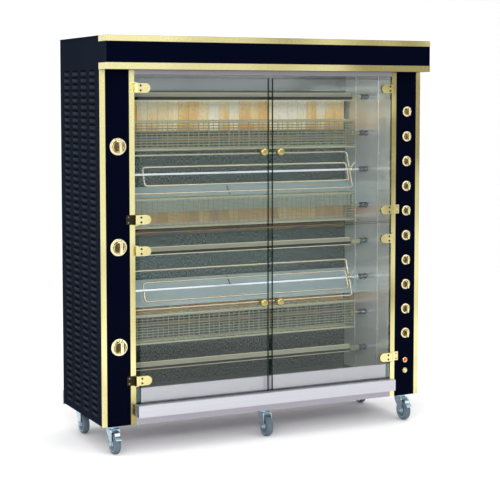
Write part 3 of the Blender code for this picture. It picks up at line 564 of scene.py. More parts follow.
slab(ceiling, (-inner, front + SHEET, low.z), (inner, back_low.y - 0.0003, low.z + SHEET))
piece("cavity_ceiling", ceiling, polished, "cabinet", "liner_steel")

# Pillars: a gold-anodised carrier with a raised strip down each edge and a sunk navy enamelled panel, and
# the square brass brackets and tongues on which the glass doors hang. They hold the controls.

STRIP_OUTER = 0.020
STRIP_INNER = 0.021
STRIP_PROUD = 0.0045

for side, sign in (("left", -1), ("right", 1)):
    trim_low, trim_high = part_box(f"{side}_pillar_trim")
    outer = trim_low.x if sign < 0 else trim_high.x
    edge = sign * (inner + 0.0003)
    top = trim_high.z
    carrier = bmesh.new()
    slab(carrier, (edge, front + STRIP_PROUD, underside), (outer, trim_high.y, top))
    slab(carrier, (outer - sign * STRIP_OUTER, front, underside), (outer, trim_high.y, top))
    slab(carrier, (edge, front, underside), (edge + sign * STRIP_INNER, trim_high.y, top))
    piece(f"{side}_pillar_strips", carrier, gold, "cabinet", "gold_trim", [f"{side}_pillar_trim"], 0.0006)
    keep(f"{side}_pillar_panel", navy)
BRACKET = 0.036
BRACKET_THICK = 0.0025
CLAMP_TALL = 0.035
CLAMP_INSETS = {"upper": (0.046, 0.038), "lower": (0.0875, 0.065)}  # from the leaf's lower and upper edge
HINGE_AHEAD = 0.011
TONGUE_THICK = 0.003
TONGUE_REACH = 0.004
PIN_RADIUS = 0.0022
PIN_DEPTH = 0.010


def clamp_heights(row):
    """The middle of the lower and the upper clamp of a row of doors."""
    low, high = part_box(f"{row}_left_door")
    return low.z + CLAMP_INSETS[row][0], high.z - CLAMP_INSETS[row][1]


brass = polished_gold("brass", 1.1)
# A near-black copy of the brass for the left hinge brackets: painted shade where they sit beside the hinge
# blocks.
brass_painted_shade = brushed("brass_painted_shade", (0.050, 0.042, 0.018), (0.008, 0.008, 0.005), 0.40, ALONG_Z)
hinge_y = front - HINGE_AHEAD
hinge_x = inner + 0.0003 - 0.003
for side, sign in (("left", -1), ("right", 1)):
    plates, tongues, screws = bmesh.new(), bmesh.new(), bmesh.new()
    edge = sign * (inner + 0.0003)
    for row in ("lower", "upper"):
        middle = clamp_heights(row)[0]
        near = (edge, front - BRACKET_THICK, middle - BRACKET / 2)
        slab(plates, near, (edge + sign * BRACKET, front, middle + BRACKET / 2))
        for rise in (-0.010, 0.010):
            at = (edge + sign * 0.75 * BRACKET, front - BRACKET_THICK, middle + rise)
            screw_head(screws, at, (0, -1, 0), 0.0032)
        for middle, below in zip(clamp_heights(row), (-1, 1)):
            start = middle + below * (CLAMP_TALL / 2 + 0.001)
            near = (sign * (hinge_x - TONGUE_REACH), hinge_y - TONGUE_REACH, start)
            slab(tongues, near, (edge + sign * 0.008, front, start + below * TONGUE_THICK))
            pin = (sign * hinge_x, hinge_y, start + below * TONGUE_THICK)
            reach = PIN_DEPTH + TONGUE_THICK
            turned(tongues, pin, (0, 0, -below), ((0, PIN_RADIUS), (reach, PIN_RADIUS)), 16)
    # The left brackets take the near-black brass: painted shade.
    finish = brass_painted_shade if side == "left" else brass
    piece(f"{side}_hinge_brackets", plates, finish, "cabinet", "brass", edge=0.0006)
    piece(f"{side}_hinge_tongues", tongues, brass, "cabinet", "brass", edge=0.0004)
    piece(f"{side}_bracket_screws", screws, burnt, "cabinet", "brass")

# Doors: four frameless leaves of 6 mm tempered glass, with dark ground edges. Each turns on two brass
# clamps, screwed through the glass beside the pillar, and has a turned brass knob near its free edge.

GLASS = 0.006
EDGE_WIDE = 0.0032
EDGE_THIN = 0.0007
DOOR_GAP = 0.015
CLAMP_LONG = 0.054
CLAMP_THICK = 0.0033
KNOB_RADIUS = 0.016
KNOB_INSET = 0.0275
KNOB_HEIGHTS = {"upper": 0.290, "lower": 0.350}  # above the leaf's lower edge

pane_glass, inputs, place = finish_of("pane_glass", (0.78, 0.84, 0.80), 0.03, 1.0)
glancing = place.node("Fresnel", {"IOR": 1.5})
feed(inputs["Alpha"], glancing * 0.50 + place.noise(5) * 0.008)
feed(inputs["Roughness"], place.noise(12) * 0.05 + 0.01)
ground_edge, inputs, place = finish_of("ground_edge", (0.012, 0.035, 0.028), 0.25, Specular_IOR_Level=0.2)
feed(inputs["Base Color"], place.noise(30, ALONG_Z).colour((0.002, 0.008, 0.006), (0.006, 0.020, 0.016)))
screw_black, inputs, place = finish_of("screw_black", (0.03, 0.028, 0.02), 0.35, 0.6)
feed(inputs["Roughness"], place.noise(300) * 0.2 + 0.25)

for row in ("upper", "lower"):
    for side, sign in (("left", -1), ("right", 1)):
        node = f"{row}_{side}_door"
        low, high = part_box(node)
        outer_edge, free_edge = sign * (hinge_x - 0.008), sign * DOOR_GAP / 2
        ends = sorted((outer_edge, free_edge))
        ys = (hinge_y - GLASS / 2, hinge_y + GLASS / 2)
        pane = bmesh.new()
        near = (ends[0] + EDGE_WIDE, ys[0], low.z + EDGE_WIDE)
        slab(pane, near, (ends[1] - EDGE_WIDE, ys[1], high.z - EDGE_WIDE))
        piece(f"{node}_pane", pane, pane_glass, node, "glass", [node])
        rim = bmesh.new()
        slab(rim, (free_edge, ys[0], low.z), (free_edge + sign * EDGE_WIDE, ys[1], high.z))
        for z in (low.z, high.z - EDGE_THIN):
            slab(rim, (ends[0] + EDGE_WIDE, ys[0], z), (ends[1] - EDGE_WIDE, ys[1], z + EDGE_THIN))
        piece(f"{node}_glass_edges", rim, ground_edge, node, "glass")
        clamps, barrels, screws = bmesh.new(), bmesh.new(), bmesh.new()
        for middle in clamp_heights(row):
            half = CLAMP_TALL / 2
            tip = hinge_x - CLAMP_LONG + half
            arc = [math.radians(turn) for turn in range(-90, 91, 15)]
            outline = [(sign * (tip - half * math.cos(turn)), middle - half * math.sin(turn)) for turn in arc]
            outline += [(sign * (hinge_x - 0.003), middle - half), (sign * (hinge_x - 0.003), middle + half)]
            for start, stop in ((ys[0] - CLAMP_THICK, ys[0]), (ys[1], ys[1] + CLAMP_THICK)):
                extruded(clamps, outline, "y", start, stop)
            round_end = ((0, 0.0058), (0.0008, 0.0065), (CLAMP_TALL - 0.0008, 0.0065), (CLAMP_TALL, 0.0058))
            turned(barrels, (sign * hinge_x, hinge_y, middle - half), (0, 0, 1), round_end, 24)
            for rise in (-0.009, 0.009):
                place_of = (sign * (hinge_x - 0.015), ys[0] - CLAMP_THICK, middle + rise)
                turned(screws, place_of, (0, -1, 0), ((0, 0.0042), (0.0005, 0.0042), (0.0007, 0.0030)), 16)
        piece(f"{node}_clamps", clamps, brass, node, "brass", edge=0.0007)
        piece(f"{node}_barrels", barrels, brass, node, "brass")
        piece(f"{node}_clamp_screws", screws, screw_black, node, "brass")
        knob = bmesh.new()
        centre = (free_edge + sign * KNOB_INSET, ys[0], low.z + KNOB_HEIGHTS[row])
        profile = [(0, 0.010), (0.0015, 0.010), (0.0025, 0.0075), (0.009, 0.0070), (0.0115, 0.0095)]
        arc = [math.radians(turn) for turn in range(-60, 91, 15)]
        ball = [(math.sin(turn), 0.35 + 0.65 * math.cos(turn)) for turn in arc]
        profile += [(0.0180 + 0.0080 * along, KNOB_RADIUS * reach) for along, reach in ball]
        turned(knob, centre, (0, -1, 0), profile, 32)
        washer = ((0, 0.010), (0.003, 0.010), (0.004, 0.007))
        turned(knob, (centre[0], ys[1], centre[2]), (0, 1, 0), washer, 24)
        piece(f"{node}_knob", knob, brass, node, "knob_gold")

# Spits: eight stainless skewers on one pitch. A turned coupling on a short shaft drives each from the
# right, and a stub lies in the rest on the left. Some are V channels, some flat wire baskets, some pairs of
# rod frames.

STUB = 0.005
COUPLING = 0.012
COUPLING_LONG = 0.038
WALL_GAP = 0.001
V_HALF = 0.016
V_DEEP = 0.010
V_SHEET = 0.0028
V_BLOCK = 0.040
HEM_TOP = 0.0013
HEM_FOOT = 0.0021
BASKET_SHORT = 0.0385
BASKET_TALL, BASKET_DEEP = 0.058, 0.031  # half sizes
END_SHEET = 0.0016
END_BORDER = 0.008
RAIL_TALL, RAIL_SHEET = 0.007, 0.0014
CAGE_WIRE = 0.0013
CAGE_ROWS, CAGE_COLUMNS = 11, 46
LEG_RADIUS = 0.077
LEG_INNER = (-0.046, 0.029)
LEG_INNER_ENDS = (0.079, 0.008)
LEG_ROD = 0.004
LEG_LEAN = math.radians(-20)

spit_steel = brushed("spit_steel", (0.60, 0.56, 0.42), (0.42, 0.39, 0.30), 0.26, ALONG_X, metallic=0.7)
wire_steel = brushed("wire_steel", (0.37, 0.39, 0.26), (0.23, 0.245, 0.165), 0.34, ALONG_X, metallic=0.6)
# A near-black copy of the flange steel: painted shade on the lower flanges of the V spits.
flange_painted_shade = brushed("flange_painted_shade", (0.06, 0.06, 0.05), (0.02, 0.02, 0.02), 0.50, ALONG_X)
hem_steel = brushed("hem_steel", (0.82, 0.79, 0.52), (0.62, 0.60, 0.40), 0.34, ALONG_X, metallic=0.3)
flange_steel = brushed("flange_steel", (0.50, 0.51, 0.40), (0.34, 0.35, 0.27), 0.36, ALONG_X, metallic=0.4)
coupling_steel = brushed("coupling_steel", (0.20, 0.23, 0.27), (0.10, 0.12, 0.15), 0.26, ALL_WAYS)
leg_bar_steel = brushed("leg_bar_steel", (0.78, 0.84, 0.88), (0.62, 0.68, 0.72), 0.22, ALONG_X)
side_wall = inner + 0.0003


def rods(name, lines, radius, material, body):
    """Round wires along lines of points, as one piece."""
    curve = bpy.data.curves.new(name, "CURVE")
    curve.dimensions = "3D"
    curve.bevel_depth = radius
    curve.bevel_resolution = 2
    curve.use_fill_caps = True
    for line in lines:
        spline = curve.splines.new("POLY")
        spline.points.add(len(line) - 1)
        for point, at in zip(spline.points, line):
            point.co = (*at, 1)
    curve.materials.append(material)
    made = bpy.data.objects.new(name, curve)
    bpy.context.scene.collection.objects.link(made)
    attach(made, body)


def frame_line(left, right, foot, head, corner, y, z, lean):
    """A closed loop of rod with rounded corners, along X and turned about the spit's axis by the lean."""
    loop = []
    for x, rise, first in ((right, head, 90), (right, foot, 0), (left, foot, -90), (left, head, 180)):
        middle = (x - math.copysign(corner, x), rise - math.copysign(corner, rise))
        for step in range(5):
            turn = math.radians(first - step * 22.5)
            loop.append((middle[0] + corner * math.cos(turn), middle[1] + corner * math.sin(turn)))
    loop.append(loop[0])
    return [(x, y - rise * math.sin(lean), z + rise * math.cos(lean)) for x, rise in loop]


def spit_drive(name, y, z):
    """The coupling with its collars and cross pin, and the shaft that goes into the gearmotor."""
    drive = bmesh.new()
    hub = side_wall - WALL_GAP - COUPLING_LONG
    profile = [(0, 0.0085), (0.001, 0.0100), (0.006, 0.0100), (0.007, COUPLING), (0.011, COUPLING)]
    profile += [(0.012, 0.0104), (0.026, 0.0104), (0.027, COUPLING), (0.031, COUPLING)]
    profile += [(0.032, 0.0100), (0.037, 0.0100), (COUPLING_LONG, 0.0085)]
    turned(drive, (hub, y, z), (1, 0, 0), profile, 28)
    cross_pin = ((0, 0.0028), (2 * COUPLING - 0.0008, 0.0028))
    turned(drive, (hub + COUPLING_LONG / 2, y - COUPLING + 0.0004, z), (0, 1, 0), cross_pin, 12)
    shaft = ((0, 0.006), (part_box(name)[1].x - side_wall + 0.002, 0.006))
    turned(drive, (hub + COUPLING_LONG - 0.001, y, z), (1, 0, 0), shaft, 16)
    piece(f"{name}_coupling", drive, coupling_steel, name, "spit_steel", [name])
    return hub


def v_spit(name, y, z, tip, hub):
    """A channel folded to a V, hemmed along both edges, with a turned point and a square block."""
    start, stop = tip + 0.024, hub - V_BLOCK + 0.001
    # The upper flange takes the plain flange steel and the lower one the near-black copy: painted shade on
    # the face that turns down.
    for flange, turn, finish in (("upper", 1, flange_steel), ("lower", -1, flange_painted_shade)):
        channel = bmesh.new()
        outline = [(V_DEEP, V_HALF), (0.0002 - V_DEEP, 0), (V_SHEET - V_DEEP, 0), (V_DEEP, V_HALF - V_SHEET)]
        extruded(channel, [(y + across, z + turn * rise) for across, rise in outline], "x", start, stop)
        piece(f"{name}_{flange}_flange", channel, finish, name, "spit_steel", edge=0.0003)
    hems = bmesh.new()
    for turn, thick in ((1, HEM_TOP), (-1, HEM_FOOT)):
        place = (start, y + V_DEEP - thick, z + turn * (V_HALF - thick))
        turned(hems, place, (1, 0, 0), ((0, thick), (stop - start, thick)), 12)
    piece(f"{name}_hems", hems, hem_steel, name, "spit_steel")
    point = bmesh.new()
    profile = ((0, 0.0035), (0.002, STUB), (0.024, STUB), (0.048, V_DEEP - 0.0012), (0.060, V_DEEP - 0.0012))
    turned(point, (tip, y, z), (1, 0, 0), profile, 20)
    piece(f"{name}_point", point, spit_steel, name, "spit_steel")
    block = bmesh.new()
    half = V_DEEP - 0.001
    slab(block, (hub - V_BLOCK, y - half, z - half), (hub + 0.0005, y + half, z + half))
    for x in (hub - 0.030, hub - 0.012):
        screw_head(block, (x, y - half, z), (0, -1, 0), 0.0035)
    piece(f"{name}_block", block, wire_steel, name, "spit_steel", edge=0.0008)


def basket_spit(name, y, z, tip, hub):
    """A flat cage: folded ends and rails, with wires welded across both faces, the top and the bottom."""
    left, right = tip + 0.022, hub - BASKET_SHORT
    tall, deep = BASKET_TALL, BASKET_DEEP
    ends = bmesh.new()
    for x in (left, right - END_SHEET):
        back = x + END_SHEET
        for sign in (-1, 1):
            slab(ends, (x, y - deep, z + sign * tall), (back, y + deep, z + sign * (tall - END_BORDER)))
            slab(ends, (x, y + sign * deep, z - tall), (back, y + sign * (deep - END_BORDER), z + tall))
        slab(ends, (x, y - END_BORDER, z - tall), (back, y + END_BORDER, z + tall))
    for sign in (-1, 1):
        low_z, high_z = sorted((z + sign * tall, z + sign * (tall - RAIL_TALL)))
        for face in (-1, 1):
            slab(ends, (left, y + face * (deep - RAIL_SHEET), low_z), (right, y + face * deep, high_z))
    piece(f"{name}_frame", ends, wire_steel, name, "spit_steel", edge=0.0003)
    stubs = bmesh.new()
    turned(stubs, (tip, y, z), (1, 0, 0), ((0, 0.0035), (0.002, STUB), (left - tip + 0.003, STUB)), 18)
    turned(stubs, (right - 0.003, y, z), (1, 0, 0), ((0, STUB), (hub - right + 0.004, STUB)), 18)
    for x, axis in ((left - 0.0006, -1), (right + 0.0006, 1)):
        turned(stubs, (x, y, z), (axis, 0, 0), ((-0.001, 0.011), (0.004, 0.011), (0.006, 0.008)), 18)
    piece(f"{name}_stubs", stubs, wire_steel, name, "spit_steel")
    lines = []
    for face in (-1, 1):
        plane = y + face * (deep - CAGE_WIRE)
        for row in range(1, CAGE_ROWS):
            height = z + tall * (2 * row / CAGE_ROWS - 1)
            lines.append([(left, plane, height), (right, plane, height)])
        for column in range(1, CAGE_COLUMNS):
            x = left + (right - left) * column / CAGE_COLUMNS
            if column % 2 == 0 or face > 0:
                inside = plane - face * 1.6 * CAGE_WIRE
                lines.append([(x, inside, z - tall + 0.003), (x, inside, z + tall - 0.003)])
    for column in range(0, CAGE_COLUMNS + 1, 2):
        x = min(max(left + (right - left) * column / CAGE_COLUMNS, left + 0.0015), right - 0.0015)
        for sign in (-1, 1):
            rise = z + sign * (tall - 0.0015)
            lines.append([(x, y - deep + 0.001, rise), (x, y + deep - 0.001, rise)])
    rods(f"{name}_wires", lines, CAGE_WIRE, wire_steel, name)


def leg_spit(name, y, z, tip, hub):
    """A square bar with two loops of rod, one inside the other, clamped by a wing screw at each end."""
    left, right = tip + 0.022 + LEG_ROD, hub - 0.051 + LEG_ROD
    lines = [frame_line(left, right, -LEG_RADIUS, LEG_RADIUS, 0.010, y, z, LEG_LEAN)]
    inner_left, inner_right = left + LEG_INNER_ENDS[0], right - LEG_INNER_ENDS[1] - LEG_ROD
    lines.append(frame_line(inner_left, inner_right, *LEG_INNER, 0.012, y, z, LEG_LEAN))
    rods(f"{name}_rods", lines, LEG_ROD, spit_steel, name)
    bar = bmesh.new()
    slab(bar, (tip + 0.020, y - LEG_ROD, z - LEG_ROD), (hub + 0.0005, y + LEG_ROD, z + LEG_ROD))
    piece(f"{name}_bar", bar, leg_bar_steel, name, "spit_steel", edge=0.0008)
    hubs = bmesh.new()
    for x in (left, right):
        barrel = ((0, 0.010), (0.001, 0.011), (0.017, 0.011), (0.018, 0.010))
        turned(hubs, (x - 0.009, y, z), (1, 0, 0), barrel, 24)
    turned(hubs, (tip, y, z), (1, 0, 0), ((0, 0.0035), (0.002, STUB), (0.022, STUB)), 18)
    for x, up_along in ((left, -0.35), (right, 0.55)):
        wing = Vector((up_along, -0.25, 0.80)).normalized()
        wing_screw = ((0, 0.003), (0.020, 0.003), (0.021, 0.0055), (0.027, 0.0055))
        turned(hubs, Vector((x, y, z)) + wing * 0.009, wing, wing_screw, 14)
    piece(f"{name}_hubs", hubs, spit_steel, name, "spit_steel")


for number, kind in enumerate(("v", "basket", "leg", "basket", "v", "leg", "basket", "v")):
    name = f"spit_{number + 1}_{kind}"
    low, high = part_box(name)
    y, z = (low.y + high.y) / 2, (low.z + high.z) / 2
    hub = spit_drive(name, y, z)
    {"v": v_spit, "basket": basket_spit, "leg": leg_spit}[kind](name, y, z, low.x, hub)

# Gas knobs and switches: cast knobs with a pale gold finish. A marked disc carries a dish whose hollow is
# painted shade, and a grip bar crosses it. Three gas knobs stand on the left pillar, and ten spit switches on
# the right one.

DOT_TURNS = (-24, 0, 24)
DISH = ((0, 1), (0.06, 1), (0.10, 0.96), (0.10, 0.80), (0.16, 0.77), (0.42, 0.74), (0.50, 0.69))
DISH += ((0.50, 0.64), (0.30, 0.55), (0.20, 0.36), (0.17, 0.05))  # shares of the knob's depth and radius
HOLLOW = ((0.33, 0.600), (0.34, 0.575), (0.325, 0.54), (0.23, 0.36), (0.20, 0.05))
GRIP_WIDE, GRIP_TALL = 0.17, 0.74  # half sizes, as shares of the radius

knob_gold = brushed("knob_gold", (0.96, 0.90, 0.66), (0.80, 0.70, 0.42), 0.26, ALL_WAYS)
knob_shadow = brushed("knob_shadow", (0.16, 0.12, 0.05), (0.020, 0.015, 0.007), 0.45, ALL_WAYS)
knob_mark, inputs, place = finish_of("knob_mark", (0.020, 0.017, 0.008), 0.45)
feed(inputs["Roughness"], place.noise(400) * 0.2 + 0.35)


def control_knob(name, dots):
    """A knob that fills its node's box, with a pointer line, arcs of ticks and dots at the turns given."""
    low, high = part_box(name)
    middle = Vector(((low.x + high.x) / 2, 0, (low.z + high.z) / 2))
    radius = (high.z - low.z) / 2
    face = front - 0.001
    depth = face - low.y
    shape, hollow = bmesh.new(), bmesh.new()
    for mesh, profile in ((shape, DISH), (hollow, HOLLOW)):
        profile = [(along * depth, reach * radius) for along, reach in profile]
        turned(mesh, middle + Vector((0, face, 0)), (0, -1, 0), profile, 40)
    piece(f"{name}_dish", shape, knob_gold, name, "knob_gold", [name], sharp=40)
    # The hollow is a dark insert in the dish: painted shade.
    piece(f"{name}_hollow", hollow, knob_shadow, name, "knob_grip")
    bar = bmesh.new()
    half, tall = GRIP_WIDE * radius, GRIP_TALL * radius
    arc = [math.radians(turn) for turn in range(0, 181, 20)]
    ends = [(half * math.cos(turn), tall - half + half * math.sin(turn)) for turn in arc]
    ends += [(-x, -rise) for x, rise in ends]
    outline = [(middle.x + x, middle.z + rise) for x, rise in ends]
    extruded(bar, outline, "y", low.y, face - 0.1 * depth)
    piece(f"{name}_grip", bar, knob_gold, name, "knob_gold", edge=0.0009)
    marks = bmesh.new()
    near = (middle.x - 0.0006, low.y - 0.0001, middle.z + 0.1 * tall)
    slab(marks, near, (middle.x + 0.0006, low.y + 0.0002, middle.z + 0.9 * tall))
    for side in (-1, 1):
        for turn in range(-50, 51, 10):
            spoke = Vector((side * math.cos(math.radians(turn)), 0, math.sin(math.radians(turn))))
            at = middle + spoke * (0.665 * radius) + Vector((0, face - 0.5 * depth, 0))
            turned(marks, at, (0, -1, 0), ((0, 0.045 * radius), (0.0002, 0.045 * radius)), 8)
    for turn in dots:
        spoke = Vector((math.sin(math.radians(turn)), 0, math.cos(math.radians(turn))))
        at = middle + spoke * (0.88 * radius) + Vector((0, face - 0.10 * depth, 0))
        turned(marks, at, (0, -1, 0), ((-0.0004, 0.06 * radius), (0.0002, 0.06 * radius)), 12)
    piece(f"{name}_marks", marks, knob_mark, name, "knob_grip")
    spindle = bmesh.new()
    turned(spindle, (middle.x, face, middle.z), (0, 1, 0), ((0, 0.004), (high.y - face, 0.004)), 16)
    piece(f"{name}_spindle", spindle, burnt, name, "stainless")


for zone in ("top", "middle", "bottom"):
    control_knob(f"gas_knob_{zone}", DOT_TURNS)
for number in range(1, 11):
    control_knob(f"switch_knob_{number}", ())

# Pilot lamp and igniter: a red lens in a brass bezel, which lights while the spits turn, over a small brass
# push button for the spark.

LAMP_RISE = 0.0435  # over the button
LENS_RADIUS = 0.0068
CAP_RADIUS = 0.0067

low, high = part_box("igniter_button")
centre = Vector(((low.x + high.x) / 2, front, (low.z + high.z) / 2))
button = bmesh.new()
behind = high.y - front
profile = [(0, CAP_RADIUS), (behind + 0.0052, CAP_RADIUS), (behind + 0.0072, 0.0052), (high.y - low.y, 0.002)]
turned(button, (centre.x, high.y, centre.z), (0, -1, 0), profile, 28)
piece("igniter_cap", button, brass, "igniter_button", "brass", ["igniter_button"])
bezels = bmesh.new()
ring = ((0.0002, 0.0105), (0.0022, 0.0105), (0.0032, 0.0092), (0.0024, 0.0078), (0.0004, 0.0076))
turned(bezels, centre, (0, -1, 0), ring, 32)
turned(bezels, centre + Vector((0, 0, LAMP_RISE)), (0, -1, 0), ring, 32)
piece("control_bezels", bezels, brass, "cabinet", "brass")
lens = bmesh.new()
arc = [math.radians(turn) for turn in range(0, 89, 11)]
dome = [(0.0006, LENS_RADIUS)]
dome += [(0.002 + 0.0030 * math.sin(turn), LENS_RADIUS * math.cos(turn)) for turn in arc]
turned(lens, centre + Vector((0, 0, LAMP_RISE)), (0, -1, 0), dome, 28)
lamp_red, inputs, place = finish_of("lamp_red", (0.45, 0.02, 0.012), 0.15, Emission_Strength=0.35)
feed(inputs["Base Color"], place.noise(200).colour((0.35, 0.015, 0.01), (0.62, 0.04, 0.02)))
feed(inputs["Emission Color"], place.noise(90).colour((0.5, 0.02, 0.01), (1.0, 0.08, 0.03)))
piece("pilot_lamp_lens", lens, lamp_red, "cabinet", "lamp_red")

# Sill and drip tray: a stainless upstand behind the lower doors, a little short of the liners, and the long
# tray that slides out under it, painted dark behind the front plane as shade inside the cabinet. The tray's
# front is a hollow folded apron, open at its ends.

SILL_SHORT = 0.020

bright_steel = brushed("bright_stainless", (0.54, 0.54, 0.58), (0.47, 0.47, 0.51), 0.50, ALONG_X)
low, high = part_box("front_sill")
sill = bmesh.new()
slab(sill, (low.x + SILL_SHORT, low.y, low.z), (high.x - SILL_SHORT, low.y + SHEET, high.z))
slab(sill, (low.x + SILL_SHORT, low.y, low.z), (high.x - SILL_SHORT, high.y, low.z + SHEET))
slab(sill, (low.x + SILL_SHORT, low.y, high.z - SHEET), (high.x - SILL_SHORT, low.y + 0.008, high.z))
piece("sill_plate", sill, bright_steel, "cabinet", "stainless", ["front_sill"], 0.0006)
cheeks = bmesh.new()
for x, inward in ((low.x, 1), (high.x, -1)):
    slab(cheeks, (x, low.y + 0.004, low.z), (x + inward * (SILL_SHORT + 0.004), high.y, high.z))
dark_steel = brushed("sill_end_steel", (0.12, 0.16, 0.155), (0.06, 0.085, 0.08), 0.4, ALONG_Z)
piece("sill_ends", cheeks, dark_steel, "cabinet", "dark_liner", edge=0.0008)
tray_steel, inputs, place = finish_of("tray_steel", (0.60, 0.60, 0.65), 0.50, 1.0)
apron = place.node("SeparateXYZ", {0: place}, pick=1) < front
apron_face_tone = place.noise(60, ALONG_X, 2.0).colour((0.52, 0.52, 0.575), (0.60, 0.60, 0.65))
# Behind the front plane the tray is painted dark: painted shade inside the cabinet.
feed(inputs["Base Color"], apron.colour((0.085, 0.110, 0.110), apron_face_tone))
keep("drip_tray", tray_steel, 0.0008)

# Casters: zinc-plated swivel forks under ball races, with pressed wheels in blue-grey rubber tyres. The two
# front corner ones have a brake, worked by a pedal.

CASTERS = ("front_left", "front_centre", "front_right", "rear_left", "rear_right")
BRAKED = ("front_left", "front_right")
WHEEL = 0.040
TYRE_DEEP = 0.0095
TYRE_CROWN = 0.0052
TYRE_HALF = 0.012
FORK_INSIDE = 0.015
FORK_SHEET = 0.003
AXLE_TRAIL = 0.028
RACE_TALL = 0.014

zinc = brushed("zinc_plate", (0.56, 0.70, 0.80), (0.36, 0.50, 0.60), 0.30, ALL_WAYS)
hub_blue = brushed("hub_zinc", (0.52, 0.72, 0.86), (0.38, 0.56, 0.70), 0.36, ALL_WAYS, metallic=0.5)
tyre_rubber, inputs, place = finish_of("tyre_rubber", (0.080, 0.110, 0.140), 0.75)
feed(inputs["Base Color"], place.noise(60).colour((0.055, 0.080, 0.100), (0.110, 0.150, 0.185)))
feed(inputs["Normal"], place.noise(300).bump(0.3, 0.0002))

for at in CASTERS:
    node = f"caster_fork_{at}"
    wheel_low, wheel_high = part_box(f"caster_wheel_{at}")
    top = underside - 0.0003
    yoke = top - RACE_TALL
    axle = (wheel_low + wheel_high) / 2
    king = Vector((axle.x, axle.y + AXLE_TRAIL, yoke))
    fork = bmesh.new()
    profile = [(0, 0.0185), (0.0012, 0.0215), (0.0052, 0.0215), (0.0062, 0.0175), (0.0082, 0.0175)]
    profile += [(0.0090, 0.0218), (RACE_TALL, 0.0218)]
    turned(fork, king, (0, 0, 1), profile, 36)
    turned(fork, king + Vector((0, 0, -0.006)), (0, 0, 1), ((0, 0.0055), (0.006, 0.0065)), 6)
    turned(fork, king + Vector((0, 0, RACE_TALL - 0.001)), (0, 0, 1), ((0, 0.006), (0.024, 0.006)), 16)
    piece(f"{node}_races", fork, zinc, node, "zinc", sharp=30)
    cheeks = bmesh.new()
    outline = [(king.y + 0.016, yoke), (king.y + 0.014, yoke - 0.014), (axle.y + 0.0105, axle.z + 0.004)]
    arc = [math.radians(turn) for turn in range(0, -181, -20)]
    outline += [(axle.y + 0.0105 * math.cos(turn), axle.z + 0.0105 * math.sin(turn)) for turn in arc]
    outline += [(axle.y - 0.0100, yoke - 0.010), (axle.y - 0.004, yoke)]
    for start in (-FORK_INSIDE - FORK_SHEET, FORK_INSIDE):
        extruded(cheeks, outline, "x", axle.x + start, axle.x + start + FORK_SHEET)
    crown = FORK_INSIDE + FORK_SHEET
    slab(cheeks, (axle.x - crown, axle.y - 0.004, yoke - FORK_SHEET), (axle.x + crown, king.y + 0.016, yoke))
    piece(f"{node}_cheeks", cheeks, zinc, node, "zinc", [node], 0.0009)
    bolt = bmesh.new()
    turned(bolt, (axle.x - 0.0212, axle.y, axle.z), (1, 0, 0), ((0, 0.0070), (0.0036, 0.0078)), 6)
    turned(bolt, (axle.x + 0.0176, axle.y, axle.z), (1, 0, 0), ((0, 0.0078), (0.0036, 0.0070)), 6)
    turned(bolt, (axle.x - 0.018, axle.y, axle.z), (1, 0, 0), ((0, 0.005), (0.036, 0.005)), 20)
    piece(f"{node}_axle", bolt, zinc, node, "zinc")
    if at in BRAKED:
        pedal = bmesh.new()
        path = [(0.002, 0.0895), (-0.018, 0.0890), (-0.029, 0.0825), (-0.033, 0.0730), (-0.031, 0.0720)]
        path += [(-0.028, 0.0805), (-0.018, 0.0862), (0.002, 0.0868)]
        extruded(pedal, [(axle.y + y, z) for y, z in path], "x", axle.x - 0.0105, axle.x + 0.0105)
        path = [(-0.026, 0.0740), (-0.036, 0.0700), (-0.0475, 0.0610), (-0.0470, 0.0580), (-0.035, 0.0660)]
        path += [(-0.025, 0.0700)]
        extruded(pedal, [(axle.y + y, z) for y, z in path], "x", axle.x - 0.0118, axle.x + 0.0118)
        piece(f"{node}_pedal", pedal, zinc, node, "zinc", edge=0.0010)
    wheel = f"caster_wheel_{at}"
    tyre = bmesh.new()
    arc = [math.radians(turn) for turn in range(-90, 91, 15)]
    shoulder = TYRE_HALF - 0.001
    profile = [(-shoulder, WHEEL - TYRE_DEEP)]
    for turn in arc:
        profile.append((TYRE_HALF * math.sin(turn), WHEEL - TYRE_CROWN + TYRE_CROWN * math.cos(turn)))
    profile += [(shoulder, WHEEL - TYRE_DEEP)]
    turned(tyre, axle, (1, 0, 0), profile, 56)
    piece(wheel + "_tyre", tyre, tyre_rubber, wheel, "tyre", [wheel])
    hub = bmesh.new()
    half = [(0.0128, 0.0062), (0.0128, 0.0095), (0.0112, 0.0110), (0.0070, 0.0150), (0.0060, 0.0200)]
    half += [(0.0085, 0.0262), (0.0112, 0.0290), (0.0116, 0.0306)]
    profile = [(-along, radius) for along, radius in half] + half[::-1]
    turned(hub, axle, (1, 0, 0), profile, 48)
    piece(wheel + "_hub", hub, hub_blue, wheel, "zinc")

# Setting: a seamless pale floor that curves up behind, wide soft lights, and the camera in front of the
# oven and to its left, a little below the height of its top.

FLOOR_FRONT = -11.5
FLOOR_SIDE = 12.0
CURVE_START = 3.6
CURVE_RADIUS = 2.2
BACKDROP_TOP = 8.0

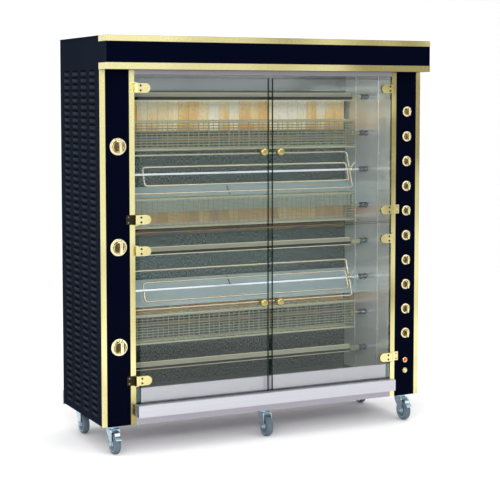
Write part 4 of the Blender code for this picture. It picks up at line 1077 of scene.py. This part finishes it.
sweep = bmesh.new()
line = [(FLOOR_FRONT, 0.0), (CURVE_START, 0.0)]
for turn in range(6, 91, 6):
    sine, cosine = math.sin(math.radians(turn)), math.cos(math.radians(turn))
    line.append((CURVE_START + CURVE_RADIUS * sine, CURVE_RADIUS * (1 - cosine)))
line.append((CURVE_START + CURVE_RADIUS, BACKDROP_TOP))
rows = [[sweep.verts.new((x, y, z - 0.0002)) for y, z in line] for x in (-FLOOR_SIDE, FLOOR_SIDE)]
for step in range(len(line) - 1):
    sweep.faces.new((rows[0][step], rows[1][step], rows[1][step + 1], rows[0][step + 1]))
paper, inputs, place = finish_of("backdrop_paper", (0.93, 0.93, 0.93), 0.9)
feed(inputs["Base Color"], place.noise(0.7).colour((0.925, 0.925, 0.925), (0.94, 0.94, 0.94)))
floor_mesh = bpy.data.meshes.new("backdrop")
sweep.to_mesh(floor_mesh)
sweep.free()
floor_mesh.materials.append(paper)
floor_mesh.shade_smooth()
backdrop = bpy.data.objects.new("backdrop", floor_mesh)
bpy.context.scene.collection.objects.link(backdrop)


def softbox(name, place_at, aim, size, power):
    """A wide soft light at a place, turned to face a point."""
    data = bpy.data.lights.new(name, "AREA")
    data.shape = "RECTANGLE"
    data.size, data.size_y = size
    data.energy = power
    light = bpy.data.objects.new(name, data)
    light.location = place_at
    light.rotation_euler = (Vector(aim) - Vector(place_at)).to_track_quat("-Z", "Y").to_euler()
    bpy.context.scene.collection.objects.link(light)


softbox("key", (1.6, -4.4, 3.9), (0, 0, 0.8), (5.0, 3.0), 80)
softbox("fill_left", (-4.4, -2.0, 2.2), (0, 0, 0.8), (2.6, 2.6), 14)
softbox("top", (0, 0.2, 4.2), (0, 0, 0), (4.5, 3.5), 70)
softbox("cavity_fill", (-2.2, -3.7, 2.05), (0.1, 0.1, 0.9), (2.6, 0.7), 75)

bpy.context.scene.view_settings.view_transform = "Standard"
world = bpy.data.worlds.new("studio")
world.use_nodes = True
world.node_tree.nodes["Background"].inputs["Color"].default_value = (1, 1, 1, 1)
world.node_tree.nodes["Background"].inputs["Strength"].default_value = 0.95
bpy.context.scene.world = world

lens_data = bpy.data.cameras.new("camera")
lens_data.lens = 98.7
lens_data.sensor_width = 36
lens_data.shift_y = -0.10
camera = bpy.data.objects.new("camera", lens_data)
camera.location = (-2.375, front - 4.727, 1.325)
gaze = Vector((0.4353, 0.8972, -0.0744))
camera.rotation_euler = gaze.to_track_quat("-Z", "Y").to_euler()
bpy.context.scene.collection.objects.link(camera)
bpy.context.scene.camera = camera
